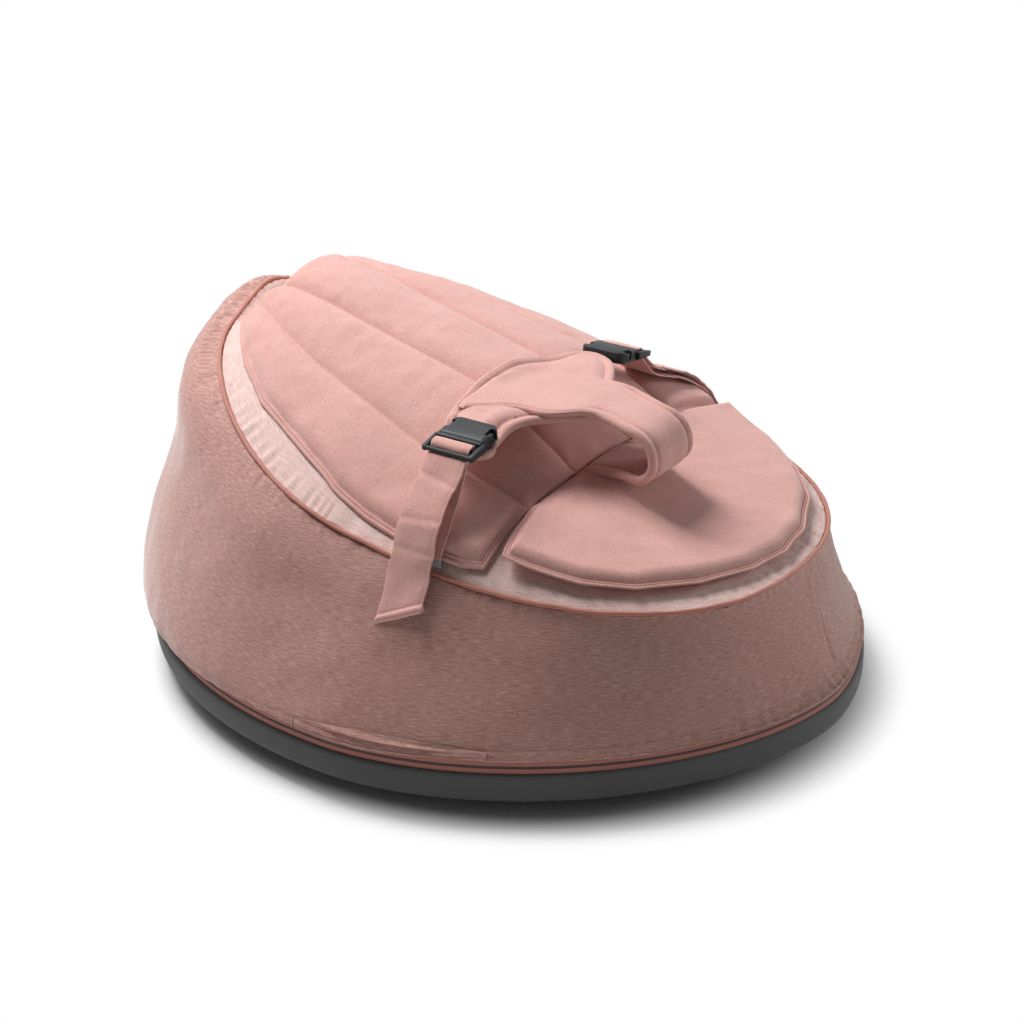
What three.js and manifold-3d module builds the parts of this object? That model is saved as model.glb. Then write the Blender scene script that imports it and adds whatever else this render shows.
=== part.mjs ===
// A baby rocker: a bead-filled fabric nest zipped onto a low tray, and the tray tilts on a steel
// axle over a floor frame with four coil springs. Millimetres, +X towards the baby's feet,
// -Y towards the baby's right hand, +Z up, origin on the floor under the middle of the tray.
import * as THREE from 'three';
import { mergeVertices } from 'three/addons/utils/BufferGeometryUtils.js';
import Module from 'manifold-3d';

const wasm = await Module();
wasm.setup();

// Driving dimensions
const gap = 0.3;
const tray = {
  headX: -379, footX: 390, widestX: 24, halfWidth: 350, headPowerShare: 2.05, footPowerShare: 1.78,
  skirtBottom: 22, top: 50, hemHeight: 66, plate: 4, wall: 4, fabric: 2, tuck: 7, underfold: 18,
  bendShare: 0.35,
};
const rim = {
  headX: -319, footX: 339, widestX: -33, halfWidth: 256, headPowerShare: 1.74, footPowerShare: 2.34,
  headHeight: 334, headThirdHeight: 233, footThirdHeight: 191, footHeight: 180, pipingRadius: 3,
};
const bag = {
  sideFabric: 2.4, topFabric: 2.4, floorFabric: 2, headBulge: 27, footBulge: -10,
  backCrown: 85, headCrown: 230, seatCrown: 42, footCrown: 18, seatStartX: 0, seatEndX: 122,
};
const zip = { tapeWide: 6.4, tapeThick: 1.6, tapeInset: 2.6, chainHigh: 2.2, chainDeep: 2.6 };
const slider = { x: 60, long: 12, high: 8, deep: 2 };
const flapSeam = { fromX: -2, toX: 182, thick: 2, stations: 9 };
const liner = {
  headX: -286, headCut: -276, widestX: 42, footX: 247, halfWidth: 243, backPowerShare: 1.8,
  endX: 120, padThick: 11, seamThick: 5, innerSeam: 50, outerSeam: 140, sunk: 14, frontPowerShare: 2,
};
const legFlap = {
  backX: 121, notchY: 140, cornerX: 148, footX: 324, widestX: 118, halfWidth: 222, powerShare: 2.05,
  thick: 14, seamThick: 4, lift: 2, edgeLift: 8, seamShare: 0.2, edgeThinShare: 0.4,
};
const pad = {
  thick: 10, strapHalf: 48, centreY: -33, rootX: 128, backX: 32, wingFrontX: 94,
  loopX: 188, loopRadius: 27, loopTop: 318, rootLift: 3, onLiner: 1.4, wingDroop: 4,
};
const buckle = {
  x: 66, reach: 137, height: 310, socketWide: 50, socketLong: 30, socketBack: 27, thick: 12, wall: 2,
  windowLong: 12, windowHigh: 6, frameWide: 57, railWide: 4.5, railThick: 8, shoulderLong: 5,
  frameLong: 24, barLong: 3.6, barThick: 4, tongueWide: 12, tongueThick: 4, tongueLong: 18,
  prongWide: 4, prongLong: 20, prongThick: 5, barbDeep: 1.4, barbLong: 8, prongOutset: 21,
  windowShare: 0.55, innerBarShare: 0.45,
};
const strap = {
  wide: 40, thick: 1.8, anchorX: 84, seamInset: 1.6, slack: 9, tailEndX: 70, tailEndHeight: 182,
  tailClear: 3, tabWide: 42, tabHigh: 7, tabThick: 1.6,
};
const frame = {
  footHigh: 6, footWide: 34, footLong: 40, runnerY: 175, runnerLong: 460, runnerWide: 30, barHigh: 12,
  barWall: 1.5, crossX: 150, crossWide: 34,
};
const axle = {
  radius: 5, height: 34, halfLength: 152, bracketY: 118, bracketThick: 5, bracketWide: 34,
  blockY: 138, blockThick: 16, blockWide: 30, blockTop: 12, clipThick: 1.6, clipRadius: 9, clipInset: 4,
};
const spring = { y: 110, radius: 13, wire: 1.3, turns: 3.5, stepsPerTurn: 10, sides: 3 };
const buckleTilt = THREE.MathUtils.degToRad(10);
const planSteps = 60;
const roundSides = 16;
const pipingSides = 7;
const bulgePowerShare = 0.7;
const bulgeFullShare = 0.5;
const backCrownPowerShare = 1;
const seatCrownPowerShare = 0.5;
const headCrownPowerShare = 3;
const crownEdgePowerShare = 8;

// Materials
function paint(color, roughness, metalness) {
  return new THREE.MeshStandardMaterial({ color, roughness, metalness });
}
const finish = {
  sideKnit: paint(0xb98d85, 0.9, 0),
  topKnit: paint(0xe2bcb2, 0.9, 0),
  velour: paint(0xd0958b, 0.95, 0),
  terracotta: paint(0xb5614f, 0.8, 0),
  tapeCloth: paint(0x8e5347, 0.85, 0),
  skirtCloth: paint(0x4b4f4d, 0.85, 0),
  beads: paint(0xf2f0ea, 0.9, 0),
  buckleResin: paint(0x24282a, 0.45, 0),
  webbing: paint(0xb9bcc0, 0.85, 0),
  trayResin: paint(0x3b3e40, 0.6, 0),
  bearingResin: paint(0xd9d9d4, 0.5, 0),
  frameSteel: paint(0x2e3032, 0.5, 0.6),
  brightSteel: paint(0xa9adb0, 0.35, 1),
  rubber: paint(0x1c1c1c, 0.95, 0),
};

// Turns a list of triangles into a geometry with its faces pointing out.
function closedGeometry(points, triangles) {
  let volume = 0;
  for (const [a, b, c] of triangles) {
    volume += points[a].dot(new THREE.Vector3().crossVectors(points[b], points[c]));
  }
  const order = volume < 0 ? [0, 2, 1] : [0, 1, 2];
  const geometry = new THREE.BufferGeometry();
  const flat = points.flatMap((point) => [point.x, point.y, point.z]);
  geometry.setAttribute('position', new THREE.Float32BufferAttribute(flat, 3));
  geometry.setIndex(triangles.flatMap((triangle) => order.map((corner) => triangle[corner])));
  geometry.computeVertexNormals();
  return geometry;
}

// A closed band round the plan: profileAt(angle) gives the same number of points at every step.
// The second half of a profile runs back, so its quads are split along the other diagonal.
function ringSweep(profileAt, steps = planSteps) {
  const points = [];
  for (let step = 0; step < steps; step += 1) {
    points.push(...profileAt((2 * Math.PI * step) / steps));
  }
  const across = points.length / steps;
  const triangles = [];
  for (let step = 0; step < steps; step += 1) {
    for (let side = 0; side < across; side += 1) {
      const nextStep = (step + 1) % steps;
      const nextSide = (side + 1) % across;
      const corner = step * across + side;
      const opposite = nextStep * across + nextSide;
      const ahead = nextStep * across + side;
      const above = step * across + nextSide;
      if (side < across / 2) {
        triangles.push([corner, ahead, opposite], [corner, opposite, above]);
      } else {
        triangles.push([corner, ahead, above], [ahead, opposite, above]);
      }
    }
  }
  return closedGeometry(points, triangles);
}

// A closed stack of plan loops, with a centre point that closes each end. The first levels, as
// many as turned says, are split along the other diagonal.
function loopStack(loops, firstCentre, lastCentre, turned = 0) {
  const around = loops[0].length;
  const points = [...loops.flat(), firstCentre, lastCentre];
  const first = points.length - 2;
  const last = points.length - 1;
  const triangles = [];
  for (let level = 0; level < loops.length; level += 1) {
    for (let step = 0; step < around; step += 1) {
      const corner = level * around + step;
      const beside = level * around + ((step + 1) % around);
      if (level === 0) {
        triangles.push([first, beside, corner]);
      }
      if (level === loops.length - 1) {
        triangles.push([last, corner, beside]);
      } else if (level < turned) {
        triangles.push([corner, beside, corner + around], [beside, beside + around, corner + around]);
      } else {
        triangles.push([corner, beside, beside + around], [corner, beside + around, corner + around]);
      }
    }
  }
  return closedGeometry(points, triangles);
}

// A closed sheet from rows of { low, high } points.
function sheet(rows) {
  const high = rows.length;
  const wide = rows[0].length;
  const points = [...rows.flat().map((pair) => pair.low), ...rows.flat().map((pair) => pair.high)];
  const layer = high * wide;
  const triangles = [];
  const quad = (a, b, c, d) => triangles.push([a, b, c], [a, c, d]);
  for (let row = 0; row < high - 1; row += 1) {
    for (let column = 0; column < wide - 1; column += 1) {
      const corner = row * wide + column;
      quad(corner, corner + 1, corner + wide + 1, corner + wide);
      quad(layer + corner, layer + corner + wide, layer + corner + wide + 1, layer + corner + 1);
    }
  }
  const border = [];
  for (let column = 0; column < wide - 1; column += 1) {
    border.push(column);
  }
  for (let row = 0; row < high - 1; row += 1) {
    border.push(row * wide + wide - 1);
  }
  for (let column = wide - 1; column > 0; column -= 1) {
    border.push((high - 1) * wide + column);
  }
  for (let row = high - 1; row > 0; row -= 1) {
    border.push(row * wide);
  }
  border.forEach((here, index) => {
    const next = border[(index + 1) % border.length];
    quad(here, layer + here, layer + next, next);
  });
  return closedGeometry(points, triangles);
}

// Shapes of the nest
function halfLength(outline, x) {
  return x > outline.widestX ? outline.footX - outline.widestX : outline.widestX - outline.headX;
}

function power(outline, x) {
  return x > outline.widestX ? outline.footPowerShare : outline.headPowerShare;
}

// A point of an outline with the horizontal direction that faces out of it.
function planPoint(outline, angle, inset = 0) {
  const along = Math.cos(angle);
  const across = Math.sin(angle);
  const side = along > 0 ? outline.footX : outline.headX;
  const roundness = power(outline, side);
  const x = outline.widestX + (side - outline.widestX) * Math.abs(along) ** (2 / roundness);
  const y = outline.halfWidth * Math.sign(across) * Math.abs(across) ** (2 / roundness);
  const length = Math.abs(side - outline.widestX);
  const slopeX = (Math.sign(along) * Math.abs((x - outline.widestX) / length) ** (roundness - 1)) / length;
  const slopeY = (Math.sign(across) * Math.abs(y / outline.halfWidth) ** (roundness - 1)) / outline.halfWidth;
  const out = new THREE.Vector2(slopeX, slopeY).normalize();
  return { x: x - out.x * inset, y: y - out.y * inset, out };
}

function lerp(from, to, share) {
  return from + (to - from) * share;
}

function smooth(from, to, value) {
  const share = Math.min(1, Math.max(0, (value - from) / (to - from)));
  return share * share * (3 - 2 * share);
}

function rimHeight(x) {
  const share = (x - rim.headX) / (rim.footX - rim.headX);
  const rest = 1 - share;
  return rest ** 3 * rim.headHeight + 3 * rest ** 2 * share * rim.headThirdHeight
    + 3 * rest * share ** 2 * rim.footThirdHeight + share ** 3 * rim.footHeight;
}

// How far out a plan point lies: 0 at the middle of the rim's outline, 1 on it.
function rimShare(x, y) {
  const roundness = power(rim, x);
  const alongShare = Math.abs(x - rim.widestX) / halfLength(rim, x);
  return (alongShare ** roundness + Math.abs(y / rim.halfWidth) ** roundness) ** (1 / roundness);
}

function crownHeight(x, y) {
  const back = lerp(bag.backCrown, bag.headCrown, (Math.min(x, 0) / rim.headX) ** headCrownPowerShare);
  const front = lerp(bag.seatCrown, bag.footCrown, (x - bag.seatEndX) / (rim.footX - bag.seatEndX));
  const seatShare = smooth(bag.seatStartX, bag.seatEndX, x);
  const roundness = lerp(backCrownPowerShare, seatCrownPowerShare, seatShare);
  const out = Math.min(1, rimShare(x, y));
  return lerp(back, front, seatShare) * (1 - out * out) ** roundness;
}

function topHeight(x, y) {
  return rimHeight(x) + crownHeight(x, y);
}

// Side of the nest: share 0 at the hem and 1 just under the piping.
function sidePoint(angle, share, inset) {
  const low = planPoint(tray, angle, inset);
  const high = planPoint(rim, angle, inset);
  const topZ = rimHeight(high.x) - rim.pipingRadius - gap;
  const bulgeShare = share ** bulgePowerShare;
  const middle = lerp(bag.headBulge, bag.footBulge, (low.x - tray.headX) / (tray.footX - tray.headX));
  const bulge = middle * (4 * bulgeShare * (1 - bulgeShare)) ** bulgeFullShare;
  return new THREE.Vector3(
    lerp(low.x, high.x, share) + low.out.x * bulge,
    lerp(low.y, high.y, share) + low.out.y * bulge,
    lerp(tray.hemHeight, topZ, share),
  );
}

// Top of the nest: share 0 at the rim and 1 at the middle.
function topPoint(angle, share, lift) {
  const edge = planPoint(rim, angle, rim.pipingRadius + gap);
  const x = lerp(edge.x, rim.widestX, share);
  const y = lerp(edge.y, 0, share);
  const start = rimHeight(edge.x) - topHeight(edge.x, edge.y);
  return new THREE.Vector3(x, y, topHeight(x, y) + start * (1 - share) ** crownEdgePowerShare + lift);
}

function planLoop(outline, inset, height, steps = planSteps) {
  return Array.from({ length: steps }, (_, step) => {
    const point = planPoint(outline, (2 * Math.PI * step) / steps, inset);
    return new THREE.Vector3(point.x, point.y, height);
  });
}

function loopOf(pointAt, steps = planSteps) {
  return Array.from({ length: steps }, (_, step) => pointAt((2 * Math.PI * step) / steps));
}

// A band round the tray from a list of [inset, height] corners.
function trayBand(corners) {
  return ringSweep((angle) => corners.map(([inset, height]) => {
    const point = planPoint(tray, angle, inset);
    return new THREE.Vector3(point.x, point.y, height);
  }));
}

const flapShares = [0.012, 0.05, 0.1];
const sideShares = [0, flapShares[1], 0.14, 0.3, 0.5, 0.7, 0.87, 1];
const topShares = [0, 0.04, 0.11, 0.21, 0.33, 0.46, 0.6, 0.74, 0.88];

function sidePanel() {
  return ringSweep((angle) => [
    ...sideShares.map((share) => sidePoint(angle, share, 0)),
    ...sideShares.map((share) => sidePoint(angle, share, bag.sideFabric)).reverse(),
  ]);
}

function topPanel() {
  const half = bag.topFabric / 2;
  const centre = (lift) => new THREE.Vector3(rim.widestX, 0, topHeight(rim.widestX, 0) + lift);
  const under = topShares.map((share) => loopOf((angle) => topPoint(angle, share, -half))).reverse();
  const over = topShares.map((share) => loopOf((angle) => topPoint(angle, share, half)));
  return loopStack([...under, ...over], centre(-half), centre(half), under.length);
}

function beadFilling() {
  const clear = bag.sideFabric + gap;
  const lift = -bag.topFabric / 2 - gap;
  const floorTop = tray.top + 2 * gap + bag.floorFabric;
  const inner = zip.tapeInset + zip.chainDeep + gap;
  const sides = sideShares.map((share) => loopOf((angle) => {
    const hemInset = lerp(inner, clear, Math.min(1, share / sideShares[2]));
    return sidePoint(angle, share, hemInset);
  }));
  const tops = topShares.slice(1).map((share) => loopOf((angle) => topPoint(angle, share, lift)));
  const top = new THREE.Vector3(rim.widestX, 0, topHeight(rim.widestX, 0) + lift);
  const bottom = new THREE.Vector3(tray.widestX, 0, floorTop);
  return loopStack([planLoop(tray, inner, floorTop), ...sides, ...tops], bottom, top);
}

// The nest's upper face raised by a gap, as a solid that its covers are cut by.
function nestBlock() {
  const lift = bag.topFabric / 2 + gap;
  const tops = topShares.map((share) => loopOf((angle) => topPoint(angle, share, lift)));
  const base = loopOf((angle) => sidePoint(angle, 0, 0));
  const top = new THREE.Vector3(rim.widestX, 0, topHeight(rim.widestX, 0) + lift);
  return toSolid(loopStack([base, ...tops], new THREE.Vector3(tray.widestX, 0, tray.hemHeight), top));
}

function rimPiping() {
  return ringSweep((angle) => {
    const point = planPoint(rim, angle);
    return Array.from({ length: pipingSides }, (_, side) => {
      const turn = (2 * Math.PI * side) / pipingSides;
      const out = rim.pipingRadius * Math.cos(turn);
      return new THREE.Vector3(
        point.x + point.out.x * out,
        point.y + point.out.y * out,
        rimHeight(point.x) + rim.pipingRadius * Math.sin(turn),
      );
    });
  });
}

function traySkirt() {
  const { skirtBottom, top, fabric, tuck, underfold } = tray;
  const middle = lerp(skirtBottom, top, tray.bendShare);
  return trayBand([
    [0, top], [0, middle], [tuck - fabric, skirtBottom], [tuck + underfold, skirtBottom],
    [tuck + underfold, skirtBottom + fabric], [tuck, skirtBottom + fabric], [fabric, middle + fabric],
    [fabric, top],
  ]);
}

// A flat plate with the tray's outline, drawn in by an inset.
function trayPlate(inset, low, high) {
  const centre = (height) => new THREE.Vector3(tray.widestX, 0, height);
  return loopStack([planLoop(tray, inset, low), planLoop(tray, inset, high)], centre(low), centre(high));
}

function trayBoard() {
  return trayPlate(tray.fabric + gap, tray.top - tray.plate, tray.top);
}

// The moulded ring under the board's edge. Its wall draws in towards the floor.
function trayRing() {
  const outer = tray.fabric + gap;
  const lower = tray.tuck + gap;
  const bend = lerp(tray.skirtBottom, tray.top, tray.bendShare) + 2 * tray.fabric;
  const bottom = tray.skirtBottom + tray.fabric + gap;
  const ceiling = tray.top - tray.plate - gap;
  return trayBand([
    [outer, ceiling], [outer, bend], [lower, bottom],
    [lower + tray.wall, bottom], [lower + tray.wall, bend], [lower + tray.wall, ceiling],
  ]);
}

function zipTape(low, high) {
  return trayBand([
    [zip.tapeInset, low], [zip.tapeInset + zip.tapeThick, low],
    [zip.tapeInset + zip.tapeThick, high], [zip.tapeInset, high],
  ]);
}

function zipChain() {
  const low = tray.top + 2 * gap + zip.tapeWide;
  const inset = zip.tapeInset;
  return trayBand([
    [inset, low], [inset + zip.chainDeep, low],
    [inset + zip.chainDeep, low + zip.chainHigh], [inset, low + zip.chainHigh],
  ]);
}

function bagFloor() {
  const low = tray.top + gap;
  return trayPlate(zip.tapeInset + zip.tapeThick + gap, low, low + bag.floorFabric);
}

// Half the width of the tray's outline at a length x.
function trayHalf(x, inset) {
  const length = halfLength(tray, x);
  const roundness = power(tray, x);
  const share = (1 - Math.abs((x - tray.widestX) / length) ** roundness) ** (1 / roundness);
  return tray.halfWidth * share - inset;
}

// The slider is parked on the far side.
function zipSlider() {
  const middle = tray.top + 2 * gap + zip.tapeWide + zip.chainHigh / 2;
  const geometry = new THREE.BoxGeometry(slider.long, slider.deep, slider.high);
  const inset = zip.tapeInset - 3 * gap - slider.deep / 2;
  geometry.translate(slider.x, trayHalf(slider.x, inset), middle);
  return geometry;
}

// The pleated flap that covers the end of the zip lies on the side panel along its hem.
function zipGarageFlap() {
  const angleAt = (x) => {
    const side = x > tray.widestX ? tray.footX : tray.headX;
    const share = Math.abs((x - tray.widestX) / (side - tray.widestX));
    const along = Math.sign(side) * share ** (power(tray, x) / 2);
    return 2 * Math.PI - Math.acos(along);
  };
  const rows = [];
  for (let station = 0; station < flapSeam.stations; station += 1) {
    const x = lerp(flapSeam.fromX, flapSeam.toX, station / (flapSeam.stations - 1));
    const angle = angleAt(x);
    rows.push(flapShares.map((share) => ({
      low: sidePoint(angle, share, -2 * gap),
      high: sidePoint(angle, share, -2 * gap - flapSeam.thick),
    })));
  }
  return sheet(rows);
}

// Seat liner: half width at a length x, and its padded thickness across the channels.
function linerHalf(x) {
  const back = x < liner.widestX;
  const length = back ? liner.widestX - liner.headX : liner.footX - liner.widestX;
  const roundness = back ? liner.backPowerShare : liner.frontPowerShare;
  const share = Math.abs(x - liner.widestX) / length;
  return liner.halfWidth * (1 - share ** roundness) ** (1 / roundness);
}

function linerThickness(x, y) {
  const seams = [-liner.outerSeam, -liner.innerSeam, liner.innerSeam, liner.outerSeam];
  const half = linerHalf(x);
  const edge = Math.min(1, (half - Math.abs(y)) / liner.padThick / 2);
  const nearest = Math.min(...seams.map((seam) => Math.abs(y - seam)));
  const puff = Math.min(1, nearest / liner.padThick / 2);
  return lerp(liner.seamThick, liner.padThick, Math.min(puff, Math.max(edge, 0)));
}

const nest = nestBlock();
const linerLengthShares = [0, 0.04, 0.1, 0.18, 0.28, 0.38, 0.48, 0.58, 0.68, 0.78, 0.86, 0.93, 1];
const linerWidthShares = [1, 0.93, 0.8, 0.6, 0.52, 0.4, 0.22, 0.14, 0];

function seatLiner() {
  const across = [...linerWidthShares.map((share) => -share), ...linerWidthShares.slice(0, -1).reverse()];
  const rows = linerLengthShares.map((share) => {
    const x = lerp(liner.headCut, liner.endX, share);
    return across.map((side) => {
      const y = side * linerHalf(x);
      const face = topHeight(x, y);
      return {
        low: new THREE.Vector3(x, y, face - liner.sunk),
        high: new THREE.Vector3(x, y, face + linerThickness(x, y)),
      };
    });
  });
  return fromSolid(toSolid(sheet(rows)).subtract(nest));
}

// Leg flap: sewn on along the seat's front seam, its corners and rim lie a little proud.
function legFlapPiece() {
  const acrossShares = [-0.985, -0.93, -0.8, -0.63, -0.45, -0.22, 0, 0.22, 0.45, 0.63, 0.8, 0.93, 0.985];
  const lengthShares = [0, 0.12, 0.35, 0.6, 0.82, 0.94, 1];
  const rows = lengthShares.map((share) => acrossShares.map((side) => {
    const y = side * legFlap.halfWidth;
    const open = Math.max(0, Math.abs(y) - legFlap.notchY) / (legFlap.halfWidth - legFlap.notchY);
    const back = lerp(legFlap.backX, legFlap.cornerX, open);
    const roundShare = (1 - Math.abs(side) ** legFlap.powerShare) ** (1 / legFlap.powerShare);
    const front = Math.max(back + legFlap.thick, lerp(legFlap.widestX, legFlap.footX, roundShare));
    const x = lerp(back, front, share);
    const edge = Math.max(share, Math.abs(side)) ** 3;
    const full = lerp(legFlap.seamThick, legFlap.thick, smooth(0, legFlap.seamShare, share));
    const low = topHeight(x, y) + legFlap.lift + legFlap.edgeLift * edge;
    return {
      low: new THREE.Vector3(x, y, low),
      high: new THREE.Vector3(x, y, low + full * (1 - legFlap.edgeThinShare * edge)),
    };
  }));
  return fromSolid(toSolid(sheet(rows)).subtract(nest));
}

const socketLean = (buckle.thick / 2) * Math.sin(buckleTilt);
const wingHalf = buckle.reach - buckle.socketBack * Math.cos(buckleTilt) - socketLean - gap;

// Harness pad: a crotch strap that loops forward and back, then spreads into two hip wings. The
// strap leans towards the near side on its way: its middle's share of the pad's offset grows.
const riseShares = { along: 0.5, high: 0.6, aside: 0.3 };
const loopAsideShares = [0.5, 0.8];
const spreadShares = [{ along: 0.45, wider: 1.02 }, { along: 0.75, wider: 1.25 }];
const wingShares = [0, 0.25, 0.5, 0.8, 1];
const loopSteps = 6;

function harnessStations() {
  const stations = [];
  const onLiner = (x, y) => topHeight(x, y) + liner.padThick + pad.onLiner + pad.thick / 2;
  const loopBottom = pad.loopTop - pad.thick / 2 - 2 * pad.loopRadius;
  const rootZ = topHeight(pad.rootX, 0) + legFlap.lift + legFlap.seamThick + pad.rootLift + pad.thick / 2;
  stations.push({ x: pad.rootX, z: rootZ, half: pad.strapHalf, centre: 0 });
  stations.push({
    x: lerp(pad.rootX, pad.loopX, riseShares.along),
    z: lerp(rootZ, loopBottom, riseShares.high),
    half: pad.strapHalf,
    centre: pad.centreY * riseShares.aside,
  });
  for (let step = 0; step <= loopSteps; step += 1) {
    const turn = -Math.PI / 2 + (Math.PI * step) / loopSteps;
    stations.push({
      x: pad.loopX + pad.loopRadius * Math.cos(turn),
      z: loopBottom + pad.loopRadius * (1 + Math.sin(turn)),
      half: pad.strapHalf,
      centre: pad.centreY * lerp(...loopAsideShares, step / loopSteps),
    });
  }
  const loopTopZ = pad.loopTop - pad.thick / 2;
  for (const { along, wider } of spreadShares) {
    stations.push({
      x: lerp(pad.loopX, pad.wingFrontX, along),
      z: loopTopZ,
      half: pad.strapHalf * wider,
      centre: pad.centreY * lerp(loopAsideShares[1], 1, along),
    });
  }
  for (const share of wingShares) {
    const x = lerp(pad.wingFrontX, pad.backX, share);
    const rise = onLiner(x, pad.centreY);
    stations.push({
      x,
      z: Math.max(rise, lerp(loopTopZ, rise, share)),
      half: wingHalf,
      centre: pad.centreY,
      wing: true,
    });
  }
  return { stations, onLiner };
}

function harnessPad() {
  const { stations, onLiner } = harnessStations();
  const acrossShares = [-1, -0.8, -0.55, -0.28, 0, 0.28, 0.55, 0.8, 1];
  const rows = stations.map((station, index) => {
    const before = stations[Math.max(0, index - 1)];
    const after = stations[Math.min(stations.length - 1, index + 1)];
    const along = new THREE.Vector2(after.x - before.x, after.z - before.z).normalize();
    const normal = new THREE.Vector3(-along.y, 0, along.x).multiplyScalar(pad.thick / 2);
    return acrossShares.map((side) => {
      const y = station.centre + side * station.half;
      let z = station.z;
      if (station.wing) {
        z = Math.max(onLiner(station.x, y), station.z - pad.wingDroop * side * side);
      }
      const middle = new THREE.Vector3(station.x, y, z);
      return { low: middle.clone().sub(normal), high: middle.clone().add(normal) };
    });
  });
  return sheet(rows);
}

// Joining and cutting of closed meshes
function toSolid(geometry) {
  const plain = geometry.clone();
  plain.deleteAttribute('normal');
  plain.deleteAttribute('uv');
  const merged = mergeVertices(plain);
  return new wasm.Manifold(new wasm.Mesh({
    numProp: 3,
    vertProperties: new Float32Array(merged.attributes.position.array),
    triVerts: new Uint32Array(merged.index.array),
  }));
}

function fromSolid(solid) {
  const mesh = solid.getMesh();
  const geometry = new THREE.BufferGeometry();
  geometry.setAttribute('position', new THREE.BufferAttribute(new Float32Array(mesh.vertProperties), 3));
  geometry.setIndex(new THREE.BufferAttribute(new Uint32Array(mesh.triVerts), 1));
  geometry.computeVertexNormals();
  return geometry;
}

function block(wide, long, high, x, y, z) {
  const geometry = new THREE.BoxGeometry(wide, long, high);
  geometry.translate(x, y, z);
  return toSolid(geometry);
}

// Places a buckle part: side -1 is the near buckle, and local +Y points to its strap.
function placeBuckle(solid, side) {
  const geometry = fromSolid(solid);
  geometry.rotateX(-buckleTilt);
  if (side < 0) {
    geometry.rotateZ(Math.PI);
  }
  geometry.translate(buckle.x, pad.centreY + side * buckle.reach, buckle.height);
  return geometry;
}

const mouth = buckle.socketLong - buckle.socketBack;

function buckleSocket() {
  const middle = mouth - buckle.socketLong / 2;
  const inside = buckle.socketLong - 3 * buckle.wall;
  const body = block(buckle.socketWide, buckle.socketLong, buckle.thick, 0, middle, 0);
  const cavity = block(
    buckle.socketWide - 2 * buckle.wall, inside + buckle.wall, buckle.thick - 2 * buckle.wall,
    0, mouth - inside / 2 + buckle.wall / 2, 0,
  );
  const windowMiddle = mouth - buckle.socketLong * buckle.windowShare;
  const windows = block(
    buckle.socketWide + 2 * buckle.wall, buckle.windowLong, buckle.windowHigh, 0, windowMiddle, 0,
  );
  return body.subtract(cavity).subtract(windows);
}

function bucklePlug() {
  const { frameWide, railWide, railThick, shoulderLong, frameLong, barLong, barThick } = buckle;
  const start = mouth + gap;
  const shoulder = block(
    buckle.socketWide, shoulderLong, buckle.thick - buckle.wall, 0, start + shoulderLong / 2, 0,
  );
  const railX = (frameWide - railWide) / 2;
  const railMiddle = start + frameLong / 2;
  const farBar = start + frameLong - barLong / 2;
  const innerBar = start + shoulderLong + (frameLong - shoulderLong - barLong) * buckle.innerBarShare;
  const tongueMiddle = start - buckle.tongueLong / 2;
  return shoulder
    .add(block(railWide, frameLong, railThick, railX, railMiddle, 0))
    .add(block(railWide, frameLong, railThick, -railX, railMiddle, 0))
    .add(block(frameWide, barLong, barThick, 0, farBar, 0))
    .add(block(frameWide - railWide, barLong, barThick, 0, innerBar, 0))
    .add(block(buckle.tongueWide, buckle.tongueLong + gap, buckle.tongueThick, 0, tongueMiddle, 0));
}

// One sprung arm of the plug, with its barb in the socket's side window.
function buckleProng(end) {
  const root = mouth;
  const tip = root - buckle.prongLong;
  const inner = buckle.prongOutset - buckle.prongWide;
  const arm = block(
    buckle.prongWide, buckle.prongLong, buckle.prongThick, end * (inner + buckle.prongWide / 2),
    (root + tip) / 2, 0,
  );
  const barb = block(
    buckle.barbDeep + buckle.prongWide, buckle.barbLong, buckle.prongThick,
    end * (inner + (buckle.barbDeep + buckle.prongWide) / 2), tip + buckle.barbLong / 2, 0,
  );
  return arm.add(barb);
}

// A flat strap through a list of points, its width along X but for each point's turn.
function flatStrap(points, wide, thick) {
  const rows = points.map((point, index) => {
    const before = points[Math.max(0, index - 1)];
    const after = points[Math.min(points.length - 1, index + 1)];
    const along = new THREE.Vector2(after.y - before.y, after.z - before.z).normalize();
    const normal = new THREE.Vector3(0, -along.y, along.x).multiplyScalar(thick / 2);
    return [-1, 1].map((side) => {
      const reach = (side * wide) / 2;
      const middle = new THREE.Vector3(point.x + reach, point.y + reach * (point.turn || 0), point.z);
      return { low: middle.clone().sub(normal), high: middle.clone().add(normal) };
    });
  });
  return sheet(rows);
}

// Where the rim stands at a length x: its distance out from the middle plane and its height.
function rimAt(x) {
  const length = halfLength(rim, x);
  const roundness = power(rim, x);
  const share = (1 - Math.abs((x - rim.widestX) / length) ** roundness) ** (1 / roundness);
  return { out: rim.halfWidth * share, height: rimHeight(x) };
}

// The rim's slope in plan at the strap's anchor, for a strap that leaves along it.
function anchorTurn(side) {
  const half = strap.wide / 2;
  return (side * (rimAt(strap.anchorX + half).out - rimAt(strap.anchorX - half).out)) / strap.wide;
}

// The tab stands on the piping, which climbs towards the head.
function tabLow() {
  return rimAt(strap.anchorX - strap.tabWide / 2).height + rim.pipingRadius + gap;
}

function ladderBar(side) {
  const reach = mouth + gap + buckle.frameLong;
  return {
    out: buckle.reach + side * pad.centreY + reach * Math.cos(buckleTilt),
    height: buckle.height - reach * Math.sin(buckleTilt),
  };
}

function strapLine(side, stations, firstX, lastX) {
  return stations.map(([share, out, height, turnShare]) => ({
    x: lerp(firstX, lastX, share),
    y: side * out,
    z: height,
    turn: turnShare * anchorTurn(side),
  }));
}

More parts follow.
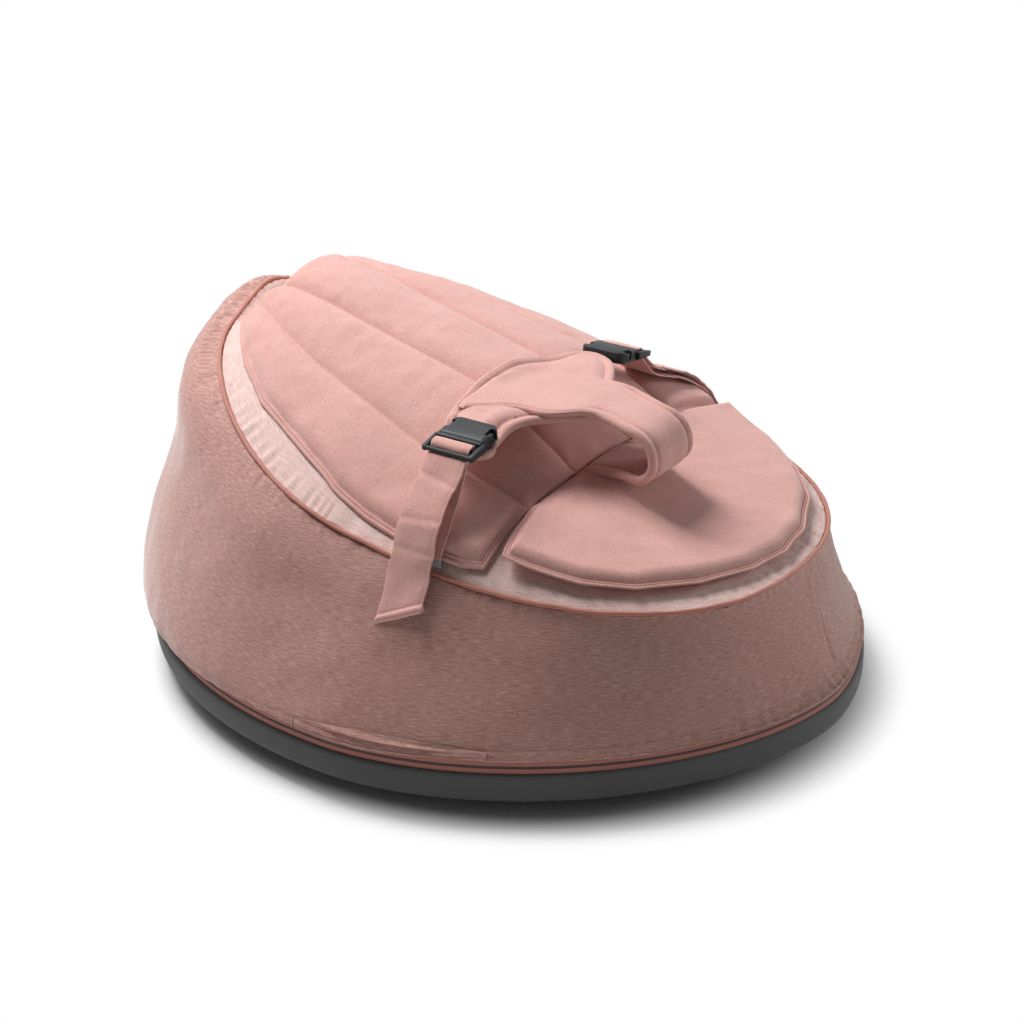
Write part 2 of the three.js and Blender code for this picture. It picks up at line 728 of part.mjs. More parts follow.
// Each station of a strap: its share of the way along X, out and up, and of the anchor's turn.
const anchorStations = [
  { along: 0.25, up: 0.32, turn: 0.8 },
  { along: 0.5, out: 0.36, up: 0.62, turn: 0.5 },
  { along: 0.8, out: 0.72, up: 0.85, turn: 0.2 },
];
const tailStations = [
  { along: 0.1, out: 0.68, down: 0.22 },
  { along: 0.3, out: 1.02, down: 0.64 },
  { along: 0.5 },
];

function anchorStrap(side) {
  const seam = rimAt(strap.anchorX);
  const bar = ladderBar(side);
  const low = tabLow() + strap.tabHigh + gap;
  const start = seam.out - strap.seamInset;
  const top = bar.height - buckle.barThick / 2 - strap.thick;
  const end = bar.out - buckle.barLong;
  const [first, ...others] = anchorStations;
  return flatStrap(strapLine(side, [
    [0, start, low, 1],
    [first.along, start - strap.thick, lerp(low, top, first.up), first.turn],
    ...others.map(({ along, out, up, turn }) => [along, lerp(start, end, out), lerp(low, top, up), turn]),
    [1, end, top, 0],
  ], strap.anchorX, buckle.x), strap.wide, strap.thick);
}

function strapTail(side) {
  const seam = rimAt(buckle.x);
  const bar = ladderBar(side);
  const top = bar.height + buckle.barThick / 2 + 1.5 * strap.thick;
  const angle = side < 0 ? 1.5 * Math.PI : 0.5 * Math.PI;
  const endShare = (strap.tailEndHeight - tray.hemHeight) / (seam.height - tray.hemHeight);
  const endOut = Math.abs(sidePoint(angle, endShare, 0).y) + strap.tailClear;
  const rimOut = seam.out + strap.slack;
  const bends = tailStations.slice(0, -1);
  const overRim = tailStations[tailStations.length - 1];
  return flatStrap(strapLine(side, [
    [0, bar.out - buckle.frameLong / 2, top + gap + (buckle.frameLong / 2) * Math.sin(buckleTilt), 0],
    [0, bar.out + 2 * strap.thick, top - strap.thick, 0],
    ...bends.map(({ along, out, down }) => [
      along, lerp(bar.out, rimOut, out), lerp(top, seam.height, down), 0,
    ]),
    [overRim.along, rimOut + strap.thick, seam.height + strap.thick, 0],
    [1, endOut, strap.tailEndHeight, 0],
  ], buckle.x, strap.tailEndX), strap.wide, strap.thick);
}

function anchorTab(side) {
  const seam = rimAt(strap.anchorX);
  const low = tabLow();
  const geometry = new THREE.BoxGeometry(strap.tabWide, strap.tabThick, strap.tabHigh);
  geometry.rotateZ(Math.atan(anchorTurn(side)));
  geometry.translate(strap.anchorX, side * (seam.out - strap.seamInset), low + strap.tabHigh / 2);
  return geometry;
}

// Floor frame, axle and springs
const barLow = frame.footHigh + gap;
const barTop = barLow + frame.barHigh;
const ceiling = tray.top - tray.plate;

// A square tube, open at both ends, with its length along X or Y.
function tube(long, wide, alongX, y, x) {
  const middle = barLow + frame.barHigh / 2;
  const inner = wide - 2 * frame.barWall;
  const innerHigh = frame.barHigh - 2 * frame.barWall;
  const size = (length, across) => (alongX ? [length, across] : [across, length]);
  const outside = block(...size(long, wide), frame.barHigh, x, y, middle);
  const inside = block(...size(long + 2 * gap, inner), innerHigh, x, y, middle);
  return fromSolid(outside.subtract(inside));
}

function crossbar(x) {
  const long = 2 * (frame.runnerY - frame.runnerWide / 2 - gap);
  return tube(long, frame.crossWide, false, 0, x);
}

function runner(side) {
  return tube(frame.runnerLong, frame.runnerWide, true, side * frame.runnerY, 0);
}

function footPad(endX, side) {
  const geometry = new THREE.BoxGeometry(frame.footLong, frame.footWide, frame.footHigh);
  const x = endX * (frame.runnerLong - frame.footLong) / 2;
  geometry.translate(x, side * frame.runnerY, frame.footHigh / 2);
  return geometry;
}

function rod(radius, from, to) {
  const geometry = new THREE.CylinderGeometry(radius, radius, to - from, roundSides);
  geometry.translate(0, (from + to) / 2, 0);
  geometry.translate(0, 0, axle.height);
  return geometry;
}

function boredPlate(wide, thick, low, high, y) {
  const plate = block(wide, thick, high - low, 0, y, (low + high) / 2);
  const bore = toSolid(rod(axle.radius + gap, y - thick, y + thick));
  return fromSolid(plate.subtract(bore));
}

function axleBracket(side) {
  const high = axle.height + axle.radius + axle.bracketThick / 2;
  return boredPlate(axle.bracketWide, axle.bracketThick, barTop + gap, high, side * axle.bracketY);
}

function bearingBlock(side) {
  const low = axle.height - axle.blockTop + axle.bracketThick / 2;
  return boredPlate(axle.blockWide, axle.blockThick, low, ceiling - gap, side * axle.blockY);
}

function axleClip(side) {
  const y = side * (axle.halfLength - axle.clipInset);
  const disc = toSolid(rod(axle.clipRadius, y - axle.clipThick / 2, y + axle.clipThick / 2));
  const bore = toSolid(rod(axle.radius + gap, y - axle.clipThick, y + axle.clipThick));
  const slotMiddle = axle.height + axle.clipRadius / 2;
  const slot = block(axle.radius, 4 * axle.clipThick, axle.clipRadius, 0, y, slotMiddle);
  return fromSolid(disc.subtract(bore).subtract(slot));
}

class CoilCurve extends THREE.Curve {
  getPoint(share, target = new THREE.Vector3()) {
    const turn = 2 * Math.PI * spring.turns * share;
    const low = barTop + gap + spring.wire;
    const high = ceiling - gap - spring.wire;
    return target.set(spring.radius * Math.cos(turn), spring.radius * Math.sin(turn), lerp(low, high, share));
  }
}

function coilSpring(x, side) {
  const section = new THREE.Shape();
  section.absarc(0, 0, spring.wire, 0, 2 * Math.PI, false);
  const geometry = new THREE.ExtrudeGeometry(section, {
    extrudePath: new CoilCurve(),
    steps: Math.round(spring.turns * spring.stepsPerTurn),
    curveSegments: spring.sides,
    bevelEnabled: false,
  });
  geometry.translate(x, side * spring.y, 0);
  return geometry;
}

// Assembly
const rocker = new THREE.Group();

function add(name, geometry, material) {
  const mesh = new THREE.Mesh(geometry, material);
  mesh.name = name;
  rocker.add(mesh);
}

const sides = [['near', -1], ['far', 1]];

for (const [place, x] of [['head', -frame.crossX], ['middle', 0], ['foot', frame.crossX]]) {
  add(`${place}_crossbar`, crossbar(x), finish.frameSteel);
}
add('axle_rod', rod(axle.radius, -axle.halfLength, axle.halfLength), finish.brightSteel);
for (const [name, side] of sides) {
  add(`${name}_runner`, runner(side), finish.frameSteel);
  add(`${name}_axle_bracket`, axleBracket(side), finish.frameSteel);
  add(`${name}_axle_clip`, axleClip(side), finish.brightSteel);
  add(`${name}_bearing_block`, bearingBlock(side), finish.bearingResin);
  for (const [end, endX] of [['head', -1], ['foot', 1]]) {
    add(`${name}_${end}_rubber_foot`, footPad(endX, side), finish.rubber);
    add(`${name}_${end}_spring`, coilSpring(endX * frame.crossX, side), finish.brightSteel);
  }
}

const tapeLow = tray.top + gap;
const upperTapeLow = tapeLow + zip.tapeWide + 2 * gap + zip.chainHigh;
add('tray_board', trayBoard(), finish.trayResin);
add('tray_ring', trayRing(), finish.trayResin);
add('tray_skirt', traySkirt(), finish.skirtCloth);
add('lower_zip_tape', zipTape(tapeLow, tapeLow + zip.tapeWide), finish.tapeCloth);
add('zip_chain', zipChain(), finish.skirtCloth);
add('zip_slider', zipSlider(), finish.brightSteel);
add('upper_zip_tape', zipTape(upperTapeLow, tray.hemHeight - gap), finish.tapeCloth);
add('zip_end_flap', zipGarageFlap(), finish.sideKnit);
add('bag_floor', bagFloor(), finish.skirtCloth);
add('bead_filling', beadFilling(), finish.beads);
add('side_panel', sidePanel(), finish.sideKnit);
add('top_panel', topPanel(), finish.topKnit);
add('rim_piping', rimPiping(), finish.terracotta);
add('seat_liner', seatLiner(), finish.velour);
add('leg_flap', legFlapPiece(), finish.velour);
add('harness_pad', harnessPad(), finish.velour);
for (const [name, side] of sides) {
  add(`${name}_anchor_tab`, anchorTab(side), finish.webbing);
  add(`${name}_anchor_strap`, anchorStrap(side), finish.velour);
  add(`${name}_strap_tail`, strapTail(side), finish.velour);
  add(`${name}_buckle_socket`, placeBuckle(buckleSocket(), side), finish.buckleResin);
  add(`${name}_buckle_plug`, placeBuckle(bucklePlug(), side), finish.buckleResin);
  for (const [end, endX] of [['head', -1], ['foot', 1]]) {
    const prong = buckleProng(side < 0 ? -endX : endX);
    add(`${name}_${end}_prong`, placeBuckle(prong, side), finish.buckleResin);
  }
}

export default rocker;
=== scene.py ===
# A baby rocker: a bead-filled nest zipped onto a low tray, with a quilted liner, a leg flap and a
# hip harness. Metres, +X towards the baby's feet, -Y the near side, +Z up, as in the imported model.
import math
from contextlib import contextmanager

import bmesh
import bpy
import numpy as np
from mathutils import Matrix, Vector


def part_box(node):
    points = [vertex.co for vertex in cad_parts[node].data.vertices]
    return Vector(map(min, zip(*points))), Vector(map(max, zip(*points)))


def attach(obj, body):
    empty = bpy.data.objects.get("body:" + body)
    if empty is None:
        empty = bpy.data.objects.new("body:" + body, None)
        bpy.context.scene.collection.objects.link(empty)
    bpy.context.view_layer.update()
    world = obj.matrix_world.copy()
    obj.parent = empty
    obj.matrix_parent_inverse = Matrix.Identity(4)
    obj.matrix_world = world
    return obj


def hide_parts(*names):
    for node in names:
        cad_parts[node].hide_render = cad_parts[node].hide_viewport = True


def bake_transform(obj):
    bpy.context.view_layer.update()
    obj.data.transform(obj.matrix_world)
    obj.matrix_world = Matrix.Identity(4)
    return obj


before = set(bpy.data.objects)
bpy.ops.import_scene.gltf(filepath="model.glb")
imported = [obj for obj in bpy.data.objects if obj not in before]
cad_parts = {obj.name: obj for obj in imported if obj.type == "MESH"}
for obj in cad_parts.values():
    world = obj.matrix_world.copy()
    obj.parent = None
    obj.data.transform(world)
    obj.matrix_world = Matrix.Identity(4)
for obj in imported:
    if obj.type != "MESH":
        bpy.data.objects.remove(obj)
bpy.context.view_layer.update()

mm = 0.001

# Camera: it stands off the near foot end of the nest and looks down on it, level side to side.
camera_azimuth = math.radians(33.49)
camera_elevation = math.radians(25.35)
camera_distance = 2400 * mm
camera_lens = 79.3
camera_sensor = 36
aim_right = 7.35 * mm
aim_up = 116.3 * mm
aim_height = 22 * mm
back = Vector((
    math.sin(camera_azimuth) * math.cos(camera_elevation),
    -math.cos(camera_azimuth) * math.cos(camera_elevation),
    math.sin(camera_elevation),
))
right = Vector((math.cos(camera_azimuth), math.sin(camera_azimuth), 0))
above = back.cross(right)
aim = right * aim_right + above * aim_up + Vector((0, 0, aim_height))


def put_in_scene(name, data):
    made = bpy.data.objects.new(name, data)
    bpy.context.scene.collection.objects.link(made)
    return made


camera = put_in_scene("camera", bpy.data.cameras.new("camera"))
camera.data.lens = camera_lens
camera.data.sensor_width = camera_sensor
camera.data.clip_end = 20
camera.matrix_world = Matrix.Translation(aim + back * camera_distance) @ Matrix(
    (right, above, back)).transposed().to_4x4()
bpy.context.scene.camera = camera


# Side panel: heathered jersey cut in two lengths and sewn down the back and beside the feet. It is
# stretched round the beads, sewn to the piping above and hemmed over the zip below.
class Outline:
    """An oval in plan, of two half ovals of unlike length and roundness that meet where it is widest."""

    def __init__(self, head, foot, widest, half_width, head_power, foot_power):
        self.head, self.foot, self.widest, self.half_width = head, foot, widest, half_width
        self.head_power, self.foot_power = head_power, foot_power

    def power(self, x):
        return np.where(x > self.widest, self.foot_power, self.head_power)

    def length(self, x):
        return np.where(x > self.widest, self.foot - self.widest, self.widest - self.head)

    def place(self, angle, inset=0.0):
        """Points of the outline, drawn in by an inset, and the directions that face out of it."""
        along, across = np.cos(angle), np.sin(angle)
        side = np.where(along > 0, self.foot, self.head)
        power, length = self.power(side), self.length(side)
        x = self.widest + (side - self.widest) * np.abs(along) ** (2 / power)
        y = self.half_width * np.sign(across) * np.abs(across) ** (2 / power)
        slope_x = np.sign(along) * np.abs((x - self.widest) / length) ** (power - 1) / length
        slope_y = np.sign(across) * np.abs(y / self.half_width) ** (power - 1) / self.half_width
        out = np.stack([slope_x, slope_y], -1) / np.hypot(slope_x, slope_y)[..., None]
        return np.stack([x, y], -1) - out * np.asarray(inset)[..., None], out

    def share(self, x, y):
        """How far out a plan point lies: 0 at the middle of the outline and 1 on it."""
        power = self.power(x)
        along = np.abs(x - self.widest) / self.length(x)
        return (along ** power + np.abs(y / self.half_width) ** power) ** (1 / power)


def lerp(start, end, share):
    return start + (end - start) * share


def smooth(start, end, value):
    share = np.clip((value - start) / (end - start), 0, 1)
    return share * share * (3 - 2 * share)


def groove(distance, width):
    """1 on a seam, and soon 0 beside it."""
    return np.exp(-(distance / width) ** 2)


def unit(vectors):
    return vectors / np.maximum(np.linalg.norm(vectors, axis=-1, keepdims=True), 1e-12)


def run_along(line):
    """How far along a line each of its points lies."""
    return np.append(0, np.cumsum(np.linalg.norm(np.diff(line, axis=0), axis=1)))


def at_height(plan, height):
    """Places in plan with their heights."""
    return np.concatenate([plan, np.asarray(height)[..., None]], -1)


def ripples(points, wavelength, seed, waves=14):
    """Soft uneven relief of about -1 to 1: plane waves in random directions, the same each run."""
    random = np.random.default_rng(seed)
    heading = unit(random.normal(size=(waves, points.shape[-1])))
    rates = 2 * np.pi / (wavelength * random.uniform(0.7, 1.5, waves))
    phases = random.uniform(0, 2 * np.pi, waves)
    return np.sin((points @ heading.T) * rates + phases).sum(-1) / math.sqrt(waves)


panel_low, panel_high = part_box("side_panel")
piping_low, piping_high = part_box("rim_piping")
piping_radius, piping_inset = 2.2 * mm, 3 * mm
hem_height = panel_low.z
tray = Outline(-379 * mm, panel_high.x, 24 * mm, panel_high.y, 2.05, 1.78)
rim = Outline(piping_low.x + piping_inset, piping_high.x - piping_inset, -33 * mm,
              piping_high.y - piping_inset, 1.74, 2.34)
rim_heights = [334 * mm, 233 * mm, 191 * mm, 180 * mm]
head_bulge, foot_bulge = 29 * mm, -8 * mm
head_swell, head_rise = 9 * mm, 21 * mm
bulge_power = 0.7
swell_share, swell_tall = 0.86, 0.13
shoulder, shoulder_share, shoulder_tall = 4 * mm, 0.82, 0.14
shoulder_from_x, shoulder_to_x = 100 * mm, -80 * mm
head_pinch, pinch_y, pinch_wide = 7 * mm, -45 * mm, 55 * mm
pinch_from_x, pinch_to_x = -150 * mm, -260 * mm
head_arch, arch_wide, arch_middle = 6 * mm, 30 * mm, np.array([-316, 24]) * mm
seam_gap = 0.3 * mm


def rim_height(x):
    share = (x - rim.head) / (rim.foot - rim.head)
    rest = 1 - share
    head, head_third, foot_third, foot = rim_heights
    return rest ** 3 * head + 3 * rest ** 2 * share * head_third \
        + 3 * rest * share ** 2 * foot_third + share ** 3 * foot


def rim_place(angle, inset=0.0):
    """The line of the piping, which is drawn in a little at the near side of the head."""
    plan, out = rim.place(angle, inset)
    drawn_in = head_pinch * groove(plan[..., 1] - pinch_y, pinch_wide) * smooth(
        pinch_from_x, pinch_to_x, plan[..., 0])
    return plan + drawn_in[..., None] * [1, 0], out


def rim_rise(plan):
    """Height of the piping, which arches up in one place behind the liner."""
    return rim_height(plan[..., 0]) + head_arch * groove(
        np.linalg.norm(plan - arch_middle, axis=-1), arch_wide)


def side_place(angle, share, inset=0.0):
    """Points on the side of the nest: share 0 at the hem and 1 just under the piping."""
    low, low_out = tray.place(angle, inset)
    high, _ = rim_place(angle, inset)
    top = rim_rise(high) - piping_radius - seam_gap
    risen = np.asarray(share) ** bulge_power
    bulge = lerp(head_bulge, foot_bulge, (low[..., 0] - tray.head) / (tray.foot - tray.head))
    swell = smooth(rim.head / 2, rim.head, high[..., 0]) * groove(share - swell_share, swell_tall) \
        * smooth(1, 0.93, share)
    filled = shoulder * groove(share - shoulder_share, shoulder_tall) * smooth(1, 0.9, share) \
        * smooth(shoulder_from_x, shoulder_to_x, low[..., 0])
    push = bulge * np.sqrt(4 * risen * (1 - risen)) + swell * head_swell + filled
    plan = lerp(low, high, np.asarray(share)[..., None]) + low_out * push[..., None]
    return at_height(plan, lerp(hem_height, top, share) + swell * head_rise)


def grid_normals(points, around):
    """Directions off a grid of points, by the cross product of its two ways."""
    down = np.gradient(points, axis=0)
    if around:
        across = (np.roll(points, -1, 1) - np.roll(points, 1, 1)) / 2
    else:
        across = np.gradient(points, axis=1)
    return unit(np.cross(across, down))


def squares(number):
    """The four corners of each square of a grid of numbered points."""
    corners = np.stack([number[:-1, :-1], number[:-1, 1:], number[1:, 1:], number[1:, :-1]], -1)
    return corners.reshape(-1, 4)


def cloth_mesh(name, points, around=False, lengths=None):
    """A smooth sheet through a grid of points, with its lengths in metres as the UV map."""
    rows, columns = points.shape[:2]
    number = np.arange(rows * columns).reshape(rows, columns)
    if around:
        number = np.concatenate([number, number[:, :1]], 1)
    if lengths is None:
        wrapped = np.concatenate([points, points[:, :1]], 1) if around else points
        along, up = run_along(wrapped[rows // 2]), run_along(wrapped[:, wrapped.shape[1] // 4])
        lengths = np.stack(np.meshgrid(along, up), -1)
    mesh = bpy.data.meshes.new(name)
    mesh.from_pydata(points.reshape(-1, 3).tolist(), [], squares(number).tolist())
    flat = lengths.reshape(-1, 2)
    wide = lengths.shape[1]
    row, column = np.meshgrid(np.arange(rows - 1), np.arange(number.shape[1] - 1), indexing="ij")
    place = row * wide + column
    loops = np.stack([place, place + 1, place + wide + 1, place + wide], -1).reshape(-1)
    uv = mesh.uv_layers.new(name="cloth")
    uv.data.foreach_set("uv", flat[loops].astype(np.float32).ravel())
    mesh.shade_smooth()
    return put_in_scene(name, mesh)


def select_only(piece):
    bpy.ops.object.select_all(action="DESELECT")
    bpy.context.view_layer.objects.active = piece
    piece.select_set(True)


def apply_modifier(piece, kind, **settings):
    """Adds a modifier to a piece, sets it and applies it at once."""
    modifier = piece.modifiers.new(kind.lower(), kind)
    for name, value in settings.items():
        setattr(modifier, name, value)
    select_only(piece)
    bpy.ops.object.modifier_apply(modifier=modifier.name)
    piece.select_set(False)


class Wire:
    """A socket of a material, on which sums add their Math nodes."""

    def __init__(self, tree, socket):
        self.tree, self.socket = tree, socket

    def maths(self, operation, first, second):
        made = self.tree.nodes.new("ShaderNodeMath")
        made.operation = operation
        for socket, value in zip(made.inputs, (first, second)):
            if isinstance(value, Wire):
                self.tree.links.new(value.socket, socket)
            else:
                socket.default_value = value
        return Wire(self.tree, made.outputs[0])

    def __add__(self, other):
        return self.maths("ADD", self, other)

    def __sub__(self, other):
        return self.maths("SUBTRACT", self, other)

    def __rsub__(self, other):
        return self.maths("SUBTRACT", other, self)

    def __mul__(self, other):
        return self.maths("MULTIPLY", self, other)

    __radd__ = __add__
    __rmul__ = __mul__


class Finish:
    """A material: its constants are set on the shader, and what varies is linked to it."""

    def __init__(self, name, **constants):
        self.material = bpy.data.materials.new(name)
        self.material.use_nodes = True
        self.tree = self.material.node_tree
        self.shader = self.tree.nodes["Principled BSDF"]
        for socket, value in constants.items():
            self.shader.inputs[socket.replace("_", " ")].default_value = value

    def node(self, kind, settings=None, sockets=None, output=0):
        made = self.tree.nodes.new(kind)
        for name, value in (settings or {}).items():
            if name == "stops":
                while len(made.color_ramp.elements) < len(value):
                    made.color_ramp.elements.new(1)
                for element, (place, colour) in zip(made.color_ramp.elements, value):
                    element.position = place
                    element.color = (*colour, 1)
            else:
                setattr(made, name, value)
        for name, value in (sockets or {}).items():
            if isinstance(value, Wire):
                self.tree.links.new(value.socket, made.inputs[name])
            else:
                made.inputs[name].default_value = value
        return Wire(self.tree, made.outputs[output])

    def cloth_way(self, stretch=(1, 1, 1)):
        """Places on the cloth, in metres along and across it."""
        place = self.node("ShaderNodeUVMap", {"uv_map": "cloth"})
        return self.node("ShaderNodeMapping", None, {"Vector": place, "Scale": stretch})

    def solid_way(self, stretch=(1, 1, 1)):
        """Places in the piece itself, in metres."""
        place = self.node("ShaderNodeTexCoord", None, None, "Object")
        return self.node("ShaderNodeMapping", None, {"Vector": place, "Scale": stretch})

    def noise(self, way, scale, detail=2.0, roughness=0.5):
        return self.node("ShaderNodeTexNoise", None, {
            "Vector": way, "Scale": scale, "Detail": detail, "Roughness": roughness})

    def threads(self, way, width, direction, distortion=0.6, output=0):
        """Soft bands as wide as a thread."""
        return self.node("ShaderNodeTexWave", {"bands_direction": direction}, {
            "Vector": way, "Scale": 1 / width / 6.3, "Distortion": distortion, "Detail": 1}, output)

    def blend(self, first, second, share):
        return self.node("ShaderNodeMix", {"data_type": "RGBA"}, {0: share, 6: first, 7: second}, 2)

    def ramp(self, share, stops):
        return self.node("ShaderNodeValToRGB", {"stops": stops}, {"Fac": share})

    def paint(self, colour):
        self.tree.links.new(colour.socket, self.shader.inputs["Base Color"])

    def relief(self, height, depth):
        bump = self.node("ShaderNodeBump", None, {"Height": height, "Distance": depth})
        self.tree.links.new(bump.socket, self.shader.inputs["Normal"])

    def rough(self, value):
        self.tree.links.new(value.socket, self.shader.inputs["Roughness"])


def wear(piece, finish):
    piece.data.materials.clear()
    piece.data.materials.append(finish.material)


def jersey(name, shade, pale, deep):
    """Heathered jersey: pale and deep fibres lie along the cloth in streaks about 12 mm long."""
    finish = Finish(name, Roughness=0.8, Sheen_Weight=0.5, Sheen_Roughness=0.4)
    fine = finish.noise(finish.cloth_way((90, 1100, 1)), 1, 2, 0.6)
    long = finish.noise(finish.cloth_way((420, 2600, 1)), 1, 2, 0.6)
    cloud = finish.noise(finish.solid_way(), 12, 2)
    streak = fine * 0.54 + long * 0.40 + cloud * 0.06
    colour = finish.ramp(streak, [(0.38, deep), (0.5, shade), (0.62, pale)])
    finish.paint(colour)
    loops = finish.noise(finish.cloth_way((900, 1300, 1)), 1, 1)
    finish.relief(fine * 0.5 + long * 0.35 + loops * 0.15, 0.4 * mm)
    return finish


def turn_from(angle, middle):
    """How far an angle lies from another, the short way round."""
    return (angle - middle + math.pi) % (2 * math.pi) - math.pi


def side_relief(angle, points):
    """How far the jersey stands off its smooth shape: soft waves, gathers at its edges and two seams."""
    rise = points[..., 2] - hem_height
    fall = side_place(angle, 1 + 0 * angle)[..., 2] - points[..., 2]
    girth = np.stack([np.cos(angle), np.sin(angle)], -1) * tray.half_width
    relief = 1.2 * mm * ripples(points, 150 * mm, 3) + 0.35 * mm * ripples(points, 45 * mm, 4)
    relief += 0.5 * mm * groove(fall, 9 * mm) * ripples(girth, 12 * mm, 5)
    relief += 0.5 * mm * groove(rise, 12 * mm) * ripples(girth, 16 * mm, 6)
    relief -= hem_seam_deep * groove(rise - hem_seam_height, hem_seam_wide)
    for seam_angle in seam_angles:
        beside = tray.half_width * turn_from(angle, seam_angle)
        relief -= panel_seam_deep * groove(beside, panel_seam_wide)
        relief += 0.7 * mm * groove(beside, 12 * mm) * ripples(points, 24 * mm, 7)
    return relief


# The side's jersey is the top panel's cloth painted darker and redder: painted shade on the side, which faces
# away from the light above.
side_jersey_painted_shade = jersey("side_jersey_painted_shade", (0.455, 0.236, 0.196), (0.60, 0.365, 0.318), (0.32, 0.150, 0.122))
around_steps = 960
girth_length = 2.31
side_fabric = 2 * mm
seam_angles = [math.radians(4), math.radians(184)]
panel_seam_deep, panel_seam_wide = 1.1 * mm, 1.8 * mm
hem_seam_deep, hem_seam_wide, hem_seam_height = 0.9 * mm, 1.6 * mm, 9 * mm
angles = np.linspace(0, 2 * np.pi, around_steps, endpoint=False)
# Rows lie closer together at the hem and under the piping, where the gathers are.
shares = np.concatenate([
    np.linspace(0, 0.08, 9), np.linspace(0.08, 0.9, 33)[1:], np.linspace(0.9, 1, 12)[1:]])
angle_grid, share_grid = np.meshgrid(angles, shares)
side_points = side_place(angle_grid, share_grid)
side_normals = grid_normals(side_points, True)
relief = side_relief(angle_grid, side_points)
girths = np.broadcast_to(np.linspace(0, girth_length, around_steps + 1), (len(shares), around_steps + 1))
heights = np.concatenate([side_points[..., 2], side_points[:, :1, 2]], 1)
side_panel = cloth_mesh("side_panel_jersey", side_points + side_normals * relief[..., None], True,
                        np.stack([girths, heights], -1))
apply_modifier(side_panel, "SOLIDIFY", thickness=side_fabric, offset=-1)
wear(side_panel, side_jersey_painted_shade)
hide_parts("side_panel")
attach(side_panel, "tray")


# Top panel: the same jersey as the side, its colour painted paler as painted light from above. It is cut
# as one oval and stretched over the beads, rises to a back rest and dips for the seat, and lies under the liner
# and the leg flap.
back_crown, head_crown, seat_crown, foot_crown = 85 * mm, 230 * mm, 42 * mm, 18 * mm
seat_end = 122 * mm
head_dip, dip_from_x, dip_to_x, dip_from_y, dip_to_y = 26 * mm, -238 * mm, -286 * mm, 112 * mm, 40 * mm
top_fabric = 2 * mm


def top_height(x, y):
    """Height of the nest's upper face above the floor."""
    high = lerp(back_crown, head_crown, (np.minimum(x, 0) / rim.head) ** 3)
    low = lerp(seat_crown, foot_crown, (x - seat_end) / (rim.foot - seat_end))
    seat = smooth(0, seat_end, x)
    out = np.minimum(1, rim.share(x, y))
    sunk = head_dip * smooth(dip_from_x, dip_to_x, x) * smooth(dip_from_y, dip_to_y, np.abs(y)) \
        * smooth(1, 0.93, out)
    return rim_height(x) + lerp(high, low, seat) * (1 - out * out) ** lerp(1, 0.5, seat) - sunk


@contextmanager
def opened(mesh):
    """A mesh's own shell to change, which is put back afterwards."""
    shell = bmesh.new()
    shell.from_mesh(mesh)
    yield shell
    shell.to_mesh(mesh)
    shell.free()


def close_middle(piece, outline):
    """Closes the small hole in the middle of an oval sheet."""
    with opened(piece.data) as shell:
        bmesh.ops.contextual_create(shell, geom=[edge for edge in shell.edges if edge.is_boundary
                                                 and edge.verts[0].co.xy.length < outline.half_width / 2])


top_jersey_painted_lit = jersey("top_jersey_painted_lit", (0.72, 0.50, 0.455), (0.86, 0.69, 0.65), (0.58, 0.365, 0.325))
top_steps = 52
inwards = np.linspace(0, 1, top_steps) ** 1.5
angle_grid, inward_grid = np.meshgrid(angles, inwards[:-1])
edge, _ = rim_place(angle_grid, piping_radius + seam_gap)
plan = lerp(edge, np.array([rim.widest, 0]), inward_grid[..., None])
drop = rim_rise(edge) - top_height(edge[..., 0], edge[..., 1])
height = top_height(plan[..., 0], plan[..., 1]) + drop * (1 - inward_grid) ** 8
from_rim = np.linalg.norm(plan - edge, axis=-1)
girth = np.stack([np.cos(angle_grid), np.sin(angle_grid)], -1) * rim.half_width
height += 0.7 * mm * groove(from_rim - 6 * mm, 10 * mm) * ripples(girth, 13 * mm, 11)
height += 0.6 * mm * ripples(plan, 60 * mm, 12) * smooth(0, 20 * mm, from_rim)
top_panel = cloth_mesh("top_panel_jersey", at_height(plan, height), True)
close_middle(top_panel, rim)
apply_modifier(top_panel, "SOLIDIFY", thickness=top_fabric, offset=-1)
wear(top_panel, top_jersey_painted_lit)
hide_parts("top_panel")
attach(top_panel, "tray")


# Piping: a cord in a bias strip of terracotta poplin, sewn between the side and the top panel. Its
# strip is lapped once, beside the head end.
def seal(piece, ends_meet=False):
    """Closes the open ends of a piece, or joins them where they meet, and points its faces outwards."""
    with opened(piece.data) as shell:
        if ends_meet:
            bmesh.ops.remove_doubles(shell, verts=shell.verts, dist=0.01 * mm)
        else:
            bmesh.ops.holes_fill(shell, edges=[edge for edge in shell.edges if edge.is_boundary], sides=0)
        bmesh.ops.recalc_face_normals(shell, faces=shell.faces)


def tube(name, middle, radius, sides=12, around=True):
    """A round piece along a line, with its length and girth as the UV map."""
    if around:
        heading = np.roll(middle, -1, 0) - np.roll(middle, 1, 0)
    else:
        heading = np.gradient(middle, axis=0)
    heading = unit(heading)
    aside = unit(np.cross(heading, np.array([0, 0, 1.0])))
    up = np.cross(aside, heading)
    turns = np.linspace(0, 2 * np.pi, sides, endpoint=False)
    radii = np.broadcast_to(radius, len(middle))[None, :, None]
    points = middle[None] + radii * (
        aside[None] * np.cos(turns)[:, None, None] + up[None] * np.sin(turns)[:, None, None])
    run = run_along(middle)
    points = points.transpose(1, 0, 2)
    if around:
        points = np.concatenate([points, points[:1]])
        run = np.append(run, run[-1] + np.linalg.norm(middle[0] - middle[-1]))
    girths = np.linspace(0, 2 * np.pi * float(np.mean(radii)), sides + 1)
    lengths = np.stack(np.meshgrid(girths, run), -1)[..., ::-1]
    piece = cloth_mesh(name, points, True, lengths)
    seal(piece, ends_meet=around)
    return piece


